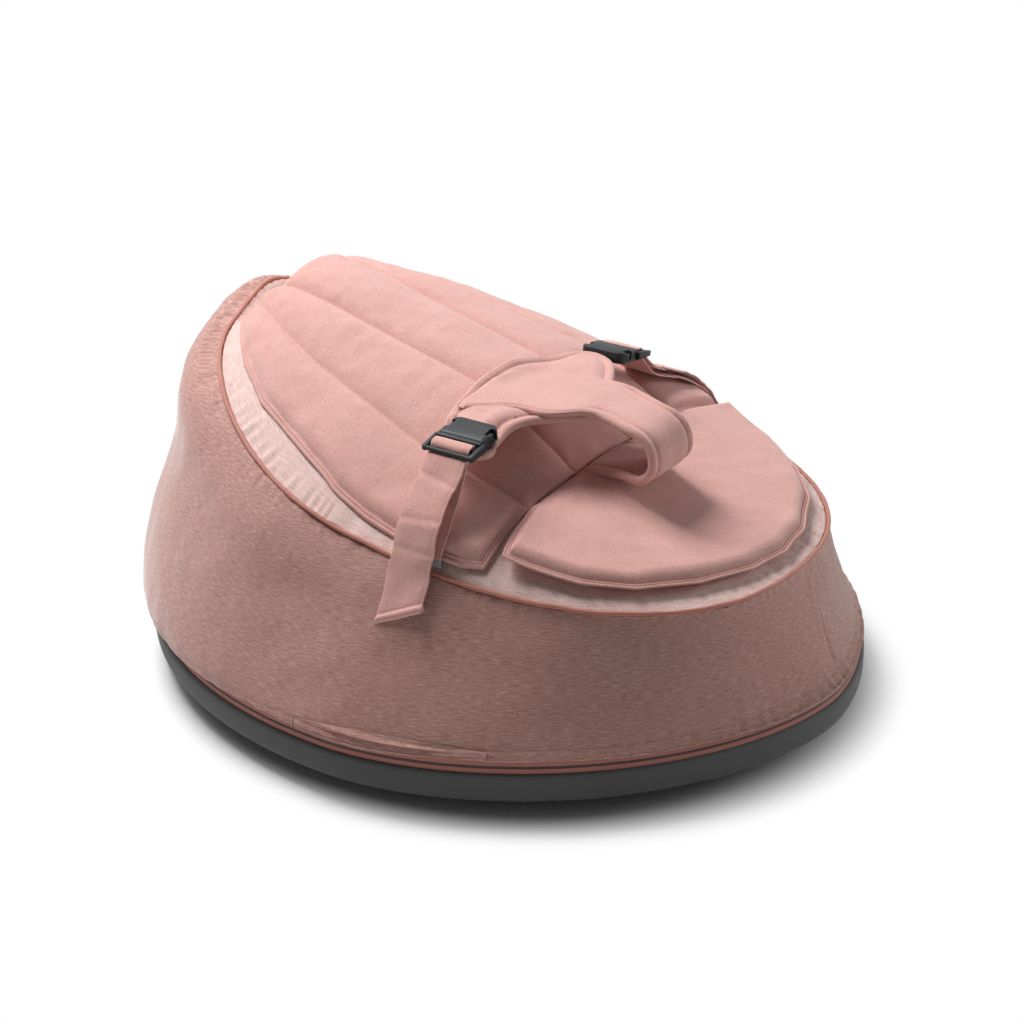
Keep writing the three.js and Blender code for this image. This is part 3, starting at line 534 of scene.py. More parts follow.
def woven(name, shade, deep, thread, roughness=0.75, sheen=0.15):
    """Plain woven cloth: the threads cross at a thread's width."""
    finish = Finish(name, Roughness=roughness, Sheen_Weight=sheen)
    weft = finish.threads(finish.cloth_way(), thread, "X")
    warp = finish.threads(finish.cloth_way(), thread, "Y", output=1)
    fleck = finish.noise(finish.solid_way(), 1 / thread / 2, 2)
    cloud = finish.noise(finish.solid_way(), 18, 2)
    finish.paint(finish.blend((*deep, 1), (*shade, 1), weft * 0.25 + warp * 0.25 + fleck * 0.3 + cloud * 0.2))
    finish.relief(weft * 0.5 + warp * 0.5 + fleck * 0.4, thread / 3)
    return finish


poplin = woven("terracotta_poplin", (0.52, 0.205, 0.155), (0.38, 0.125, 0.09), 0.4 * mm, 0.6)
lap_angle, lap_long, lap_thicker = math.radians(221), 7 * mm, 0.22
piping_plan, _ = rim_place(angles)
piping_line = at_height(piping_plan, rim_rise(piping_plan))
piping_line[:, 2] += 0.4 * mm * ripples(piping_line, 40 * mm, 21)
beside_lap = np.abs(angles - lap_angle) * rim.half_width
piping_radii = piping_radius * (1 + lap_thicker * groove(beside_lap, lap_long)) \
    + 0.1 * mm * ripples(piping_line, 15 * mm, 22)
piping = tube("rim_piping_cord", piping_line, piping_radii)
wear(piping, poplin)
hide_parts("rim_piping")
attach(piping, "tray")


# Zip: two woven tapes and a chain of moulded teeth run round the tray and join the nest to it.
def band(name, low, high, inset, thick, steps=8):
    """A flat band round the tray between two heights, as a closed sheet."""
    grid, level = np.meshgrid(angles, np.linspace(0, 1, steps))
    plan, out = tray.place(grid, inset + 0 * grid)
    made = cloth_mesh(name, at_height(plan, lerp(low, high, level)), True)
    apply_modifier(made, "SOLIDIFY", thickness=thick, offset=-1)
    return made


tape_cloth = woven("zip_tape_twill", (0.45, 0.170, 0.135), (0.32, 0.108, 0.084), 0.5 * mm, 0.7)
tape_wide, tape_inset = 10 * mm, 2.6 * mm
tape_thick = 1.4 * mm
for node in ("lower_zip_tape", "upper_zip_tape"):
    low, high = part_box(node)
    tape = band(node + "_twill", low.z, high.z, tape_inset, tape_thick)
    wear(tape, tape_cloth)
    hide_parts(node)
    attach(tape, "tray")

chain_low, chain_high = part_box("zip_chain")
tooth_pitch = 1.7 * mm
tooth_deep = 1.6 * mm
tooth_count = round(girth_length / tooth_pitch)
tooth_angles = np.linspace(0, 2 * np.pi, tooth_count, endpoint=False)
plan, out = tray.place(tooth_angles, tape_inset + 0 * tooth_angles)
tooth_tall = (chain_high.z - chain_low.z) * 0.92
tooth_shift = 0.12 * mm
zip_teeth = put_in_scene("zip_teeth", bpy.data.meshes.new("zip_teeth"))
with opened(zip_teeth.data) as teeth:
    for number, (place, facing) in enumerate(zip(plan, out)):
        turn = math.atan2(facing[1], facing[0])
        middle = Vector((place[0] - facing[0] * tooth_deep / 2, place[1] - facing[1] * tooth_deep / 2,
                         (chain_low.z + chain_high.z) / 2 + (tooth_shift if number % 2 else -tooth_shift)))
        placed = Matrix.Translation(middle) @ Matrix.Rotation(turn, 4, "Z") @ Matrix.Diagonal(
            (tooth_deep, tooth_pitch * 0.8, tooth_tall, 1))
        bmesh.ops.create_cube(teeth, size=1, matrix=placed)
resin_teeth = Finish("zip_resin", Base_Color=(0.035, 0.022, 0.018, 1), Roughness=0.5)
speck = resin_teeth.noise(resin_teeth.solid_way(), 900, 2)
resin_teeth.rough(speck * 0.3 + 0.35)
wear(zip_teeth, resin_teeth)
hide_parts("zip_chain")
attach(zip_teeth, "tray")


# Bead filling: expanded beads, about 4 mm each, poured into the nest and held down by its covers.
# Nothing of them shows, so the mass is drawn a little smaller than the space inside the jersey.
bead_clear = 5 * mm
floor_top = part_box("bead_filling")[0].z
bead_angles = np.linspace(0, 2 * np.pi, 240, endpoint=False)


def ring_rows(place, shares):
    """A grid of points, one row for each share."""
    angle_rows, share_rows = np.meshgrid(bead_angles, shares)
    return place(angle_rows, share_rows)


def top_place(angle, share):
    """Points on the nest's top face: share 0 inside the piping and 1 at the middle."""
    start, _ = rim_place(angle, piping_radius + seam_gap)
    flat = lerp(start, np.array([rim.widest, 0]), share[..., None])
    return at_height(flat, top_height(flat[..., 0], flat[..., 1]))


bead_sides = ring_rows(lambda angle, share: side_place(angle, share, bead_clear), np.linspace(0.04, 0.80, 24))
bead_tops = ring_rows(top_place, np.linspace(0.12, 0.995, 24))
bead_tops[..., 2] -= 3 * bead_clear
bead_floor = ring_rows(lambda angle, share: tray.place(angle, 2 * bead_clear + 0 * share)[0], [0.0])
bead_floor = at_height(bead_floor, np.full((1, len(bead_angles)), floor_top))
bead_middle = bead_floor * [0.02, 0.02, 1]
bead_mass = cloth_mesh("bead_mass", np.concatenate([bead_middle, bead_floor, bead_sides, bead_tops]), True)
seal(bead_mass)
bead_foam = Finish("bead_foam", Roughness=0.7)
bead = bead_foam.node("ShaderNodeTexVoronoi", None, {"Vector": bead_foam.solid_way(), "Scale": 250})
# Each bead is painted pale in its middle and darker towards its edge, where it meets the next: painted shade
# between the beads.
bead_foam.paint(bead_foam.ramp(bead, [(0.0, (0.93, 0.92, 0.89)), (0.9, (0.70, 0.69, 0.66))]))
bead_foam.relief(bead, -1.2 * mm)
wear(bead_mass, bead_foam)
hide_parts("bead_filling")
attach(bead_mass, "tray")


# Tray skirt: a strip of dark grey canvas wrapped round the tray's wall. It is stapled over the top
# edge, drawn in towards the floor and turned under, and it creases a little near the feet.
skirt_low, skirt_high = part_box("tray_skirt")
skirt_fabric, skirt_turned_in = 1.8 * mm, 32 * mm
crease_deep, crease_angle_at, crease_angle_wide = 0.9 * mm, -0.42, 0.30
skirt_line = [(7 * mm, 0.0), (3 * mm, 0.0), (1.4 * mm, 0.02), (0.5 * mm, 0.08), (0.2 * mm, 0.3),
              (0.1 * mm, 0.55), (0.7 * mm, 0.68), (2.2 * mm, 0.84), (4.4 * mm, 0.96), (7 * mm, 1.0),
              (14 * mm, 1.0), (25 * mm, 1.0)]
run = np.linspace(0, len(skirt_line) - 1, 50)
skirt_inset = np.interp(run, range(len(skirt_line)), [inset for inset, _ in skirt_line])
skirt_drop = np.interp(run, range(len(skirt_line)), [drop for _, drop in skirt_line])
angle_grid, row_grid = np.meshgrid(angles, np.arange(len(run)))
plan, out = tray.place(angle_grid, skirt_inset[row_grid])
height = lerp(skirt_high.z, skirt_low.z, skirt_drop[row_grid])
wall = smooth(0.15, 0.5, skirt_drop[row_grid]) * smooth(24 * mm, 8 * mm, skirt_inset[row_grid])
skirt_points = at_height(plan, height)
beside_feet = groove(turn_from(angle_grid, crease_angle_at), crease_angle_wide)
slant = angle_grid * tray.half_width + height * 1.6
creases = ripples(np.stack([slant, slant * 0], -1), 60 * mm, 31)
push = wall * (0.12 * mm * ripples(plan, 60 * mm, 32)
               - crease_deep * np.clip(creases, 0, 3) * (0.25 + beside_feet))
skirt_points[..., :2] += out * push[..., None]
skirt_points[..., 2] += 0.2 * mm * ripples(plan, 260 * mm, 33) * smooth(0.7, 0.95, skirt_drop[row_grid])
skirt_points[..., 2] = np.maximum(skirt_points[..., 2], skirt_low.z)
skirt = cloth_mesh("tray_skirt_canvas", skirt_points, True)
apply_modifier(skirt, "SOLIDIFY", thickness=skirt_fabric, offset=-1)
canvas = woven("skirt_canvas", (0.062, 0.065, 0.063), (0.035, 0.037, 0.036), 0.7 * mm, 0.72, 0.1)
wear(skirt, canvas)
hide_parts("tray_skirt")
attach(skirt, "tray")


# Seat liner: velour over thin wadding, quilted in five channels along its length. Its edge is bound
# with a thin roll, and its front edge is sewn to the leg flap across the seat.
velour_lit, velour_shade, velour_deep = (0.80, 0.48, 0.435), (0.69, 0.37, 0.325), (0.54, 0.255, 0.215)


def velour(name, nap=1.0):
    """Short brushed pile: speckled at a millimetre and clouded where it was stroked."""
    finish = Finish(name, Roughness=0.92, Sheen_Weight=0.35, Sheen_Roughness=0.5)
    fuzz = finish.noise(finish.solid_way(), 620, 3, 0.7)
    tufts = finish.noise(finish.solid_way(), 210, 2, 0.6)
    clouds = finish.noise(finish.solid_way(), 24, 3, 0.6)
    finish.paint(finish.ramp(fuzz * 0.62 + tufts * 0.16 + clouds * 0.22, [
        (0.26, velour_deep), (0.5, velour_shade), (0.74, velour_lit)]))
    finish.relief(fuzz * 0.7 + tufts * 0.5, 0.8 * mm * nap)
    return finish


def off_line(plan, start, end):
    """How far each place lies from a straight line between two points."""
    along = end - start
    share = np.clip(((plan - start) * along).sum(-1) / (along * along).sum(-1), 0, 1)
    return np.linalg.norm(plan - start - share[..., None] * along, axis=-1)


def line_distance(plan, line):
    """How far each place lies from an open line."""
    nearest = np.full(plan.shape[:-1], np.inf)
    for start, end in zip(line[:-1], line[1:]):
        nearest = np.minimum(nearest, off_line(plan, start, end))
    return nearest


def edge_distance(plan, loop, reach=90):
    """How far each point of a grid lies from its outline, whose columns it shares."""
    nearest = np.full(plan.shape[:-1], np.inf)
    for offset in range(-reach, reach):
        nearest = np.minimum(nearest, off_line(plan, np.roll(loop, offset, 0), np.roll(loop, offset - 1, 0)))
    return nearest


def rounded_loop(corners, count, reach):
    """A closed line of evenly spaced points, its corners rounded over a length."""
    loop = np.vstack([corners, corners[:1]])
    run = run_along(loop)
    even = np.linspace(0, run[-1], count, endpoint=False)
    points = np.stack([np.interp(even, run, loop[:, axis]) for axis in (0, 1)], -1)
    step = max(1, round(reach / (run[-1] / count)))
    for _ in range(3):
        points = (np.roll(points, step, 0) + points + np.roll(points, -step, 0)) / 3
    return points


def round_pad(name, loop, centre, upper, lower, steps=84):
    """A closed pad over an outline: its upper and lower faces are heights at a place."""
    reach = float(np.linalg.norm(loop - centre, axis=1).mean())
    rings = np.concatenate([np.linspace(0, 12 * mm, 26), np.linspace(12 * mm, reach, steps)[1:]]) / reach
    inwards = np.minimum(rings, 0.997)
    plan = lerp(loop[None], np.asarray(centre), inwards[:, None, None])
    distance = edge_distance(plan, loop)
    over, under = at_height(plan, upper(plan, distance)), at_height(plan, lower(plan, distance))
    pad = cloth_mesh(name, np.concatenate([under[:0:-3], over]), True)
    seal(pad)
    pad.data.shade_smooth()
    return pad


liner_half_x = np.array([-277, -271, -247, -219, -170, -123, -88, -43, -2, 38, 80, 110, 128]) * mm
liner_half_y = np.array([77, 85, 118, 146, 181, 201, 214, 231, 239, 242, 241, 236, 227]) * mm
liner_head_y = np.array([0, 36, 50, 60, 70, 80, 92, 106]) * mm
liner_head_x = np.array([-247, -249, -252, -258, -264, -267, -266, -262]) * mm
liner_front_y = np.array([0, 120, 146, 180, 205, 226]) * mm
liner_front_x = np.array([118, 118, 119, 122, 126, 128]) * mm
liner_full, liner_seam = 12 * mm, 2.4 * mm
inner_seam = 50 * mm
outer_seam_x = np.array([-280, -269, -202, -146, -101, -61, -11, 15, 51, 87, 130]) * mm
outer_seam_y = np.array([66, 71, 105, 124, 134, 142, 151, 155, 151, 142, 134]) * mm
flap_notch = 140 * mm
liner_gap, liner_round, binding_full = 1.4 * mm, 8 * mm, 4.2 * mm
liner_long, outer_channel_wide = 380 * mm, 85 * mm
row_stride, column_stride = 3.2 * mm, 4 * mm
head_guess, front_guess, notch_soft = -262 * mm, 120 * mm, 8 * mm
quilt_wide, quilt_power = 8.5 * mm, 0.8
# Each roll of the binding: its height, how far in it lies, and half its width.
outer_roll, inner_roll = (2.4 * mm, 1.35 * mm, 1.35 * mm), (3.5 * mm, 4.2 * mm, 1.45 * mm)
binding_flat, binding_wide, binding_thick = 0.7 * mm, 5.4 * mm, 1.6 * mm
edge_steps = np.array([
    0, 0.45, 0.9, 1.35, 1.8, 2.3, 2.8, 3.3, 3.8, 4.3, 4.8, 5.4, 6, 6.8, 7.8, 9.2, 11, 13.5]) * mm
seam_steps = np.array([0, 0.4, 0.9, 1.6, 2.5, 3.8, 5.6, 8, 11, 15]) * mm


def spread(first, last, width, stride):
    """Shares across a width: close together where steps are given at each end, and even between."""
    start, end = first[-1], width - last[-1]
    between = np.linspace(start, end, max(2, round((end - start) / stride)))[1:-1]
    return np.concatenate([first, between, width - last[::-1]]) / width


def seam_distance(x, y):
    """How far a place lies from the nearest quilting seam."""
    outer = np.interp(x, outer_seam_x, outer_seam_y)
    across = np.abs(y)
    return np.minimum(np.abs(across - inner_seam), np.abs(across - outer))


def quilting(distance):
    """1 on the full pad and 0 on a seam: a sharp valley with soft shoulders."""
    return 1 - np.exp(-(distance / quilt_wide) ** quilt_power)


def border_distance(plan):
    """How far each point of a grid lies from the grid's own border."""
    return line_distance(plan, np.concatenate([plan[0], plan[1:, -1], plan[-1, -2::-1], plan[-2::-1, 0]]))


def roll_height(distance, high, inwards, half):
    return high * np.sqrt(np.clip(1 - ((distance - inwards) / half) ** 2, 0, 1))


def bound_pad(distance, full, round_over):
    """Thickness of a pad with two thin rolls of binding at its edge, and its full height behind them."""
    rolls = np.maximum(roll_height(distance, *outer_roll), roll_height(distance, *inner_roll))
    binding = np.maximum(rolls, binding_flat * smooth(0, mm, distance))
    rise = np.clip((distance - binding_wide) / round_over, 0, 1)
    pad = binding_thick + (full - binding_thick) * np.sqrt(1 - (1 - rise) ** 2)
    return np.where(distance < binding_wide, binding, pad)


def joined_at(x, y, free_x, sewn_x):
    """1 where the liner and the leg flap are sewn together, and 0 where each has its own edge."""
    return smooth(free_x, sewn_x, x) * smooth(flap_notch + notch_soft, flap_notch - notch_soft, np.abs(y))


def liner_upper(plan, distance):
    x, y = plan[..., 0], plan[..., 1]
    joined = joined_at(x, y, 92 * mm, 112 * mm)
    seam = seam_distance(x, y)
    quilt = quilting(seam)
    full = lerp(liner_seam, liner_full, quilt)
    bound = bound_pad(distance, np.maximum(full, binding_full), liner_round)
    sewn = full * lerp(0.3, 1, quilting(distance))
    thick = lerp(bound, sewn, joined)
    soft = smooth(5 * mm, 16 * mm, distance)
    pucker = groove(seam - 8 * mm, 9 * mm) * smooth(0.5 * mm, 5 * mm, seam) \
        * ripples(plan * [1, 0.3], 17 * mm, 41)
    swell = 0.9 * mm * ripples(plan, 85 * mm, 42) + 0.35 * mm * ripples(plan, 28 * mm, 43)
    edge_wave = 0.9 * mm * ripples(plan, 42 * mm, 44) * groove(distance - 9 * mm, 12 * mm)
    return top_height(x, y) + liner_gap + thick + soft * quilt * (0.5 * mm * pucker + swell) + edge_wave


liner_rows = spread(edge_steps, edge_steps, liner_long, row_stride)[:, None]
outer_channel = spread(edge_steps, seam_steps, outer_channel_wide, column_stride)
inner_channel = spread(seam_steps, seam_steps, 2 * inner_seam, column_stride)


def liner_plan():
    """Plan of the liner: its rows run from the head to the seat, its columns follow the seams."""
    bands = [(outer_channel[:-1], "half", "outer", -1), (inner_channel[:-1], "outer", "inner", -1),
             (inner_channel[:-1], "inner", "inner", 0), (inner_channel[:-1], "inner", "outer", 1),
             (1 - outer_channel[::-1], "outer", "half", 1)]

    def lines(x):
        return {"half": np.interp(x, liner_half_x, liner_half_y),
                "outer": np.interp(x, outer_seam_x, outer_seam_y), "inner": inner_seam + 0 * x}

    def across(x):
        """Y of each column where it passes a length x, x being a row of one value per column."""
        found, place = [], 0
        for shares, start, end, side in bands:
            here = lines(x[:, place:place + len(shares)])
            first, last = here[start], here[end]
            low = -first if side < 0 else (-last if side == 0 else first)
            high = -last if side < 0 else last
            found.append(lerp(low, high, shares[None]))
            place += len(shares)
        return np.concatenate(found, 1)

    count = sum(len(band[0]) for band in bands)
    head, front = np.full((1, count), head_guess), np.full((1, count), front_guess)
    for _ in range(8):
        head = 0.5 * head + 0.5 * np.interp(np.abs(across(head)), liner_head_y, liner_head_x)
        front = 0.5 * front + 0.5 * np.interp(np.abs(across(front)), liner_front_y, liner_front_x)
    x = lerp(head, front, liner_rows)
    return np.stack([x, across(x)], -1)


liner_grid = liner_plan()
liner_grid[..., 1] += 0.9 * mm * ripples(liner_grid, 60 * mm, 45) * smooth(
    150 * mm, 190 * mm, np.abs(liner_grid[..., 1]))
liner_distance = border_distance(liner_grid)
liner_over = at_height(liner_grid, liner_upper(liner_grid, liner_distance))
liner_under = at_height(liner_grid, top_height(liner_grid[..., 0], liner_grid[..., 1]) + liner_gap)


def closed_pad(name, over, under):
    """A closed pad from two grids of points that share their border."""
    rows, columns = over.shape[:2]
    number = np.arange(rows * columns).reshape(rows, columns)
    inside = np.zeros((rows, columns), bool)
    inside[1:-1, 1:-1] = True
    low = number.copy()
    low[inside] = rows * columns + np.arange(inside.sum())
    points = np.concatenate([over.reshape(-1, 3), under[inside]])
    mesh = bpy.data.meshes.new(name)
    mesh.from_pydata(points.tolist(), [], np.concatenate([squares(number), squares(low)[:, ::-1]]).tolist())
    pad = put_in_scene(name, mesh)
    seal(pad)
    mesh.shade_smooth()
    return pad


seat_liner = closed_pad("seat_liner_velour", liner_over, liner_under)
liner_velour = velour("liner_velour")
wear(seat_liner, liner_velour)
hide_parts("seat_liner")
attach(seat_liner, "tray")


# Leg flap: a thicker velour cushion for the legs. It is sewn on across the seat only, so that its
# bound rim and its two back corners lie a little proud of the nest.
flap_full, flap_round = 14 * mm, 10 * mm
flap_seam_thick, flap_seam_reach = 3 * mm, 13 * mm
flap_gap, flap_belly = 1.6 * mm, 2.5 * mm
flap_rim_lift, flap_rim_reach = 6 * mm, 26 * mm
rim_thinner, rim_thin_reach = 0.25, 30 * mm
flap_middle, flap_corner = (205 * mm, 0), np.array([142, 219]) * mm
flap_corner_lift, flap_corner_reach = 9 * mm, 34 * mm
flap_side = np.array([
    (121, 0), (121, 60), (121, 110), (122, 134), (125, 152), (131, 182), (137, 207), (142, 220),
    (158, 214), (182, 205), (212, 193), (254, 163), (293, 112), (318, 52), (325, 0),
]) * mm


def flap_base(plan, distance):
    """Underside of the flap: on the nest, and lifted at its rim and its corners."""
    x, y = plan[..., 0], plan[..., 1]
    free = 1 - smooth(150 * mm, 126 * mm, x) * smooth(flap_notch + 10 * mm, flap_notch - 20 * mm, np.abs(y))
    rim_lift = flap_rim_lift * np.exp(-distance / flap_rim_reach) * free
    off = np.hypot(x - flap_corner[0], np.abs(y) - flap_corner[1])
    corner_lift = flap_corner_lift * np.exp(-off / flap_corner_reach)
    return top_height(x, y) + flap_gap + rim_lift + corner_lift


def flap_upper(plan, distance):
    x, y = plan[..., 0], plan[..., 1]
    joined = joined_at(x, y, 160 * mm, 126 * mm)
    bound = bound_pad(distance, flap_full, flap_round)
    sewn = lerp(flap_seam_thick, flap_full, 1 - np.exp(-distance / flap_seam_reach))
    swell = smooth(0, 24 * mm, distance) * (
        0.8 * mm * ripples(plan, 95 * mm, 51) + 0.25 * mm * ripples(plan, 30 * mm, 52))
    thin = 1 - rim_thinner * np.exp(-distance / rim_thin_reach)
    return flap_base(plan, distance) + lerp(bound * thin, sewn, joined) + swell


def flap_lower(plan, distance):
    belly = flap_belly * smooth(0, 9 * mm, distance) * smooth(34 * mm, 16 * mm, distance)
    return flap_base(plan, distance) - belly


flap_loop = rounded_loop(np.concatenate([flap_side, (flap_side * [1, -1])[-2:0:-1]]), 600, 2.6 * mm)
flap_loop += 0.5 * mm * ripples(flap_loop, 50 * mm, 53)[:, None]
leg_flap = round_pad("leg_flap_velour", flap_loop, flap_middle, flap_upper, flap_lower)
wear(leg_flap, liner_velour)
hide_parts("leg_flap")
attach(leg_flap, "tray")


# Hip band: the lower layer of the harness, two padded wings in one piece. It lies on the liner at
# the back, stands clear of the seat in front, and each wing ends in a buckle.
harness_y = -33 * mm
band_half, band_roll, band_groove = 5.5 * mm, 4.4 * mm, 9.5 * mm
band_height, socket_drop, wing_drop = 311 * mm, 8 * mm, 14 * mm
wing_puff, wing_seam_deep = 3 * mm, 1.6 * mm
on_liner = liner_full + 2.5 * mm
band_centre = (68 * mm, -36 * mm)
band_side = np.array([
    (52, -176), (42, -170), (33, -158), (28, -144), (18, -119), (14, -99), (11, -59), (12, -22), (15, -5),
    (18, 5), (24, 24), (31, 45), (34, 62), (37, 76), (44, 81), (57, 82), (76, 78), (88, 68), (97, 54),
    (104, 42), (112, 26), (122, 8), (134, -12), (142, -35), (145, -52), (143, -64), (130, -74), (111, -88),
    (95, -105), (88, -117), (87, -128), (89, -140), (93, -155), (93, -167), (86, -173), (74, -176),
]) * mm
wing_seam = np.array([(32, -150), (35, -132), (43, -124), (56, -121), (77, -127), (97, -139)]) * mm


def rolled(distance, half, roll, groove_at):
    """Half the thickness of a padded piece whose edge is bound with a thick roll."""
    edge = roll * np.sqrt(np.clip(1 - (1 - distance / roll) ** 2, 0, 1))
    inside = lerp(roll, half, smooth(groove_at, groove_at + 12 * mm, distance))
    dip = 1.7 * mm * groove(distance - groove_at, 1.5 * mm) + 0.7 * mm * groove(distance - groove_at, 4 * mm)
    return np.where(distance < roll, edge, inside - dip)


def band_middle(plan):
    """Height of the middle of the hip band."""
    x, y = plan[..., 0], plan[..., 1]
    beside_buckle = socket_drop * smooth(-100 * mm, -142 * mm, y) * smooth(70 * mm, 86 * mm, x)
    under_buckle = wing_drop * smooth(-143 * mm, -158 * mm, y)
    level = band_height - np.maximum(beside_buckle, under_buckle)
    lying = top_height(x, y) + on_liner + band_half
    soft = 3 * mm
    return soft * np.logaddexp(level / soft, lying / soft)


def band_upper(plan, distance):
    puff = wing_puff * smooth(6 * mm, 24 * mm, distance) * smooth(
        40 * mm, 70 * mm, np.abs(plan[..., 1] - harness_y))
    seam = wing_seam_deep * groove(line_distance(plan, wing_seam), 2.0 * mm) * smooth(3 * mm, 9 * mm, distance)
    swell = 0.4 * mm * ripples(plan, 34 * mm, 61)
    return band_middle(plan) + rolled(distance, band_half, band_roll, band_groove) + puff - seam + swell


def band_lower(plan, distance):
    return band_middle(plan) - rolled(distance, band_half, band_roll, band_groove)


band_loop = rounded_loop(band_side, 420, 5 * mm)
hip_band = round_pad("hip_band_velour", band_loop, band_centre, band_upper, band_lower, 48)
harness_velour = velour("harness_velour")
wear(hip_band, harness_velour)
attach(hip_band, "tray")


# Crotch panel: the upper layer. It is sewn in across the seat, loops forwards and back over the
# hip band, and a thick roll binds its edges all round.
panel_half, panel_top_half, panel_roll, panel_groove = 5.2 * mm, 4.2 * mm, 4.6 * mm, 9.8 * mm
panel_corner, panel_gap, panel_step = 14 * mm, 1.2 * mm, 1.6 * mm
# The panel is sewn down from the first to the second share of its length.
sewn_from, sewn_to, sewn_edge = 0.57, 0.67, 8 * mm
edge_seam_deep, edge_seam_in, edge_seam_wide = 0.5 * mm, 3 * mm, 0.9 * mm
panel_line = [(126, 246), (140, 251), (158, 254), (172, 256.5)]
panel_line += [(184 + 27 * math.cos(turn), 283 + 27 * math.sin(turn))
               for turn in np.radians([-82, -60, -38, -15, 10, 35, 60, 85])]
panel_line += [(168, 312), (148, 314), (126, 315), (100, 316), (78, 317), (58, 318), (42, 320), (30, 322),
               (23, 323)]
# Each width: how far along the line it is taken, and the near and the far edge there.
panel_edges = np.array([
    (0.00, -50, 34), (0.10, -55, 28), (0.22, -63, 18), (0.34, -69, 8), (0.46, -70, 3), (0.54, -64, 10),
    (0.60, -62, 15), (0.64, -70, 15), (0.67, -82, 15), (0.69, -88, 14), (0.73, -94, 12), (0.78, -94, 4),
    (0.82, -95, 1), (0.87, -100, 0), (0.92, -110, -7), (0.955, -120, -16), (0.98, -124, -32), (1.00, -116, -54),
])


def smooth_line(points, step):
    """Evenly spaced points on a smooth curve through a list of points."""
    points = np.asarray(points, float)
    ends = np.vstack([2 * points[0] - points[1], points, 2 * points[-1] - points[-2]])
    share = np.linspace(0, 1, 24, endpoint=False)[:, None]
    curve = []
    for first, second, third, fourth in zip(ends, ends[1:], ends[2:], ends[3:]):
        curve.append(0.5 * (2 * second + (third - first) * share
                            + (2 * first - 5 * second + 4 * third - fourth) * share ** 2
                            + (3 * second - first - 3 * third + fourth) * share ** 3))
    curve = np.vstack([*curve, points[-1:]])
    run = run_along(curve)
    even = np.linspace(0, run[-1], max(2, round(run[-1] / step)))
    return np.stack([np.interp(even, run, curve[:, axis]) for axis in range(points.shape[1])], -1)


path = smooth_line(np.array(panel_line) * mm, panel_step)
along = np.linspace(0, 1, len(path))
path_length = run_along(path)[-1]
near_edge, far_edge = (np.interp(along, panel_edges[:, 0], panel_edges[:, side]) * mm for side in (1, 2))
soften = np.hanning(15) / np.hanning(15).sum()
near_edge, far_edge = (np.convolve(np.pad(side_edge, 7, "edge"), soften, "valid")
                       for side_edge in (near_edge, far_edge))
close_in = np.concatenate([np.linspace(0, 13 * mm, 20), np.linspace(13 * mm, 48 * mm, 18)[1:]])
close_in /= 2 * close_in[-1]
across = np.concatenate([close_in, 1 - close_in[-2::-1]])
heading = unit(np.gradient(path, axis=0))
facing = np.stack([-heading[:, 1], heading[:, 0]], -1)
if facing[-1, 1] < 0:
    facing = -facing
row_along, column_across = np.meshgrid(along, across, indexing="ij")
wide = (far_edge - near_edge)[:, None]
side_off = np.minimum(column_across, 1 - column_across) * wide
end_off = (1 - row_along) * path_length
distance = np.where(
    (side_off < panel_corner) & (end_off < panel_corner),
    np.maximum(panel_corner - np.hypot(panel_corner - side_off, panel_corner - end_off), 0),
    np.minimum(side_off, end_off))
# On the hip band the thick roll ends and the panel is only sewn down along a thin seam.
sewn_down = smooth(sewn_from, sewn_to, row_along)
thin_edge = panel_top_half * np.sqrt(1 - (1 - np.minimum(distance, sewn_edge) / sewn_edge) ** 2)
thin_edge = thin_edge - edge_seam_deep * groove(distance - edge_seam_in, edge_seam_wide)
half = lerp(rolled(distance, panel_half, panel_roll, panel_groove), thin_edge, sewn_down)
place_y = near_edge[:, None] + column_across * wide
place_x = path[:, None, 0] + 0 * place_y
on_band = band_middle(np.stack([place_x, place_y], -1)) + band_half + panel_gap
crown = (on_band - path[:, None, 1]) * sewn_down
swell_at = np.stack([row_along * path_length, place_y], -1)
swell = 0.5 * mm * ripples(swell_at, 46 * mm, 62) * smooth(0, 10 * mm, distance)
centre = np.stack([place_x, place_y, path[:, None, 1] + crown], -1)
normal = np.stack([facing[:, None, 0] + 0 * place_y, 0 * place_y, facing[:, None, 1] + 0 * place_y], -1)
upper_face = centre + normal * (half + swell)[..., None]
lower_face = centre - normal * (half - swell)[..., None]
both_faces = np.concatenate([upper_face, lower_face[:, -2:0:-1]], 1)
crotch_panel = cloth_mesh("crotch_panel_velour", both_faces, True)
seal(crotch_panel)
crotch_panel.data.shade_smooth()
wear(crotch_panel, harness_velour)
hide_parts("harness_pad")
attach(crotch_panel, "tray")


# Buckles: charcoal moulded resin. A socket is sewn into the end of each wing. The plug slides into
# it, two sprung prongs click into its side windows, and the plug's ladder holds the strap.
buckle_x, buckle_reach, buckle_height = 66 * mm, 137 * mm, 310 * mm
buckle_tilt = math.radians(10)
crease_angle = math.radians(32)
socket_wide, socket_long, buckle_thick = 50 * mm, 30 * mm, 12 * mm
mouth = 3 * mm
cavity_wide, cavity_long, cavity_thick = 46 * mm, 26 * mm, 8 * mm
back_round, plateau_step, plateau_inset = 8 * mm, 0.9 * mm, 2.4 * mm
window_y, window_long, window_deep = -13.5 * mm, 12 * mm, 5.5 * mm
ladder_start, ladder_long, ladder_wide = 3.3 * mm, 24 * mm, 57 * mm
rail_wide, rail_thick, rail_end_share = 4.5 * mm, 8.6 * mm, 0.66
outer_bar_y, inner_bar_y = 25.5 * mm, 15.2 * mm
prong_middle, prong_tip = 19 * mm, -17 * mm
button_deep, button_long, button_thick = 7.2 * mm, 8 * mm, 7.6 * mm


def sharp_block(size, middle):
    bpy.ops.object.select_all(action="DESELECT")
    bpy.ops.mesh.primitive_cube_add(size=1, location=middle, scale=size)
    bpy.ops.object.transform_apply(location=True, rotation=True, scale=True)
    return bpy.context.active_object


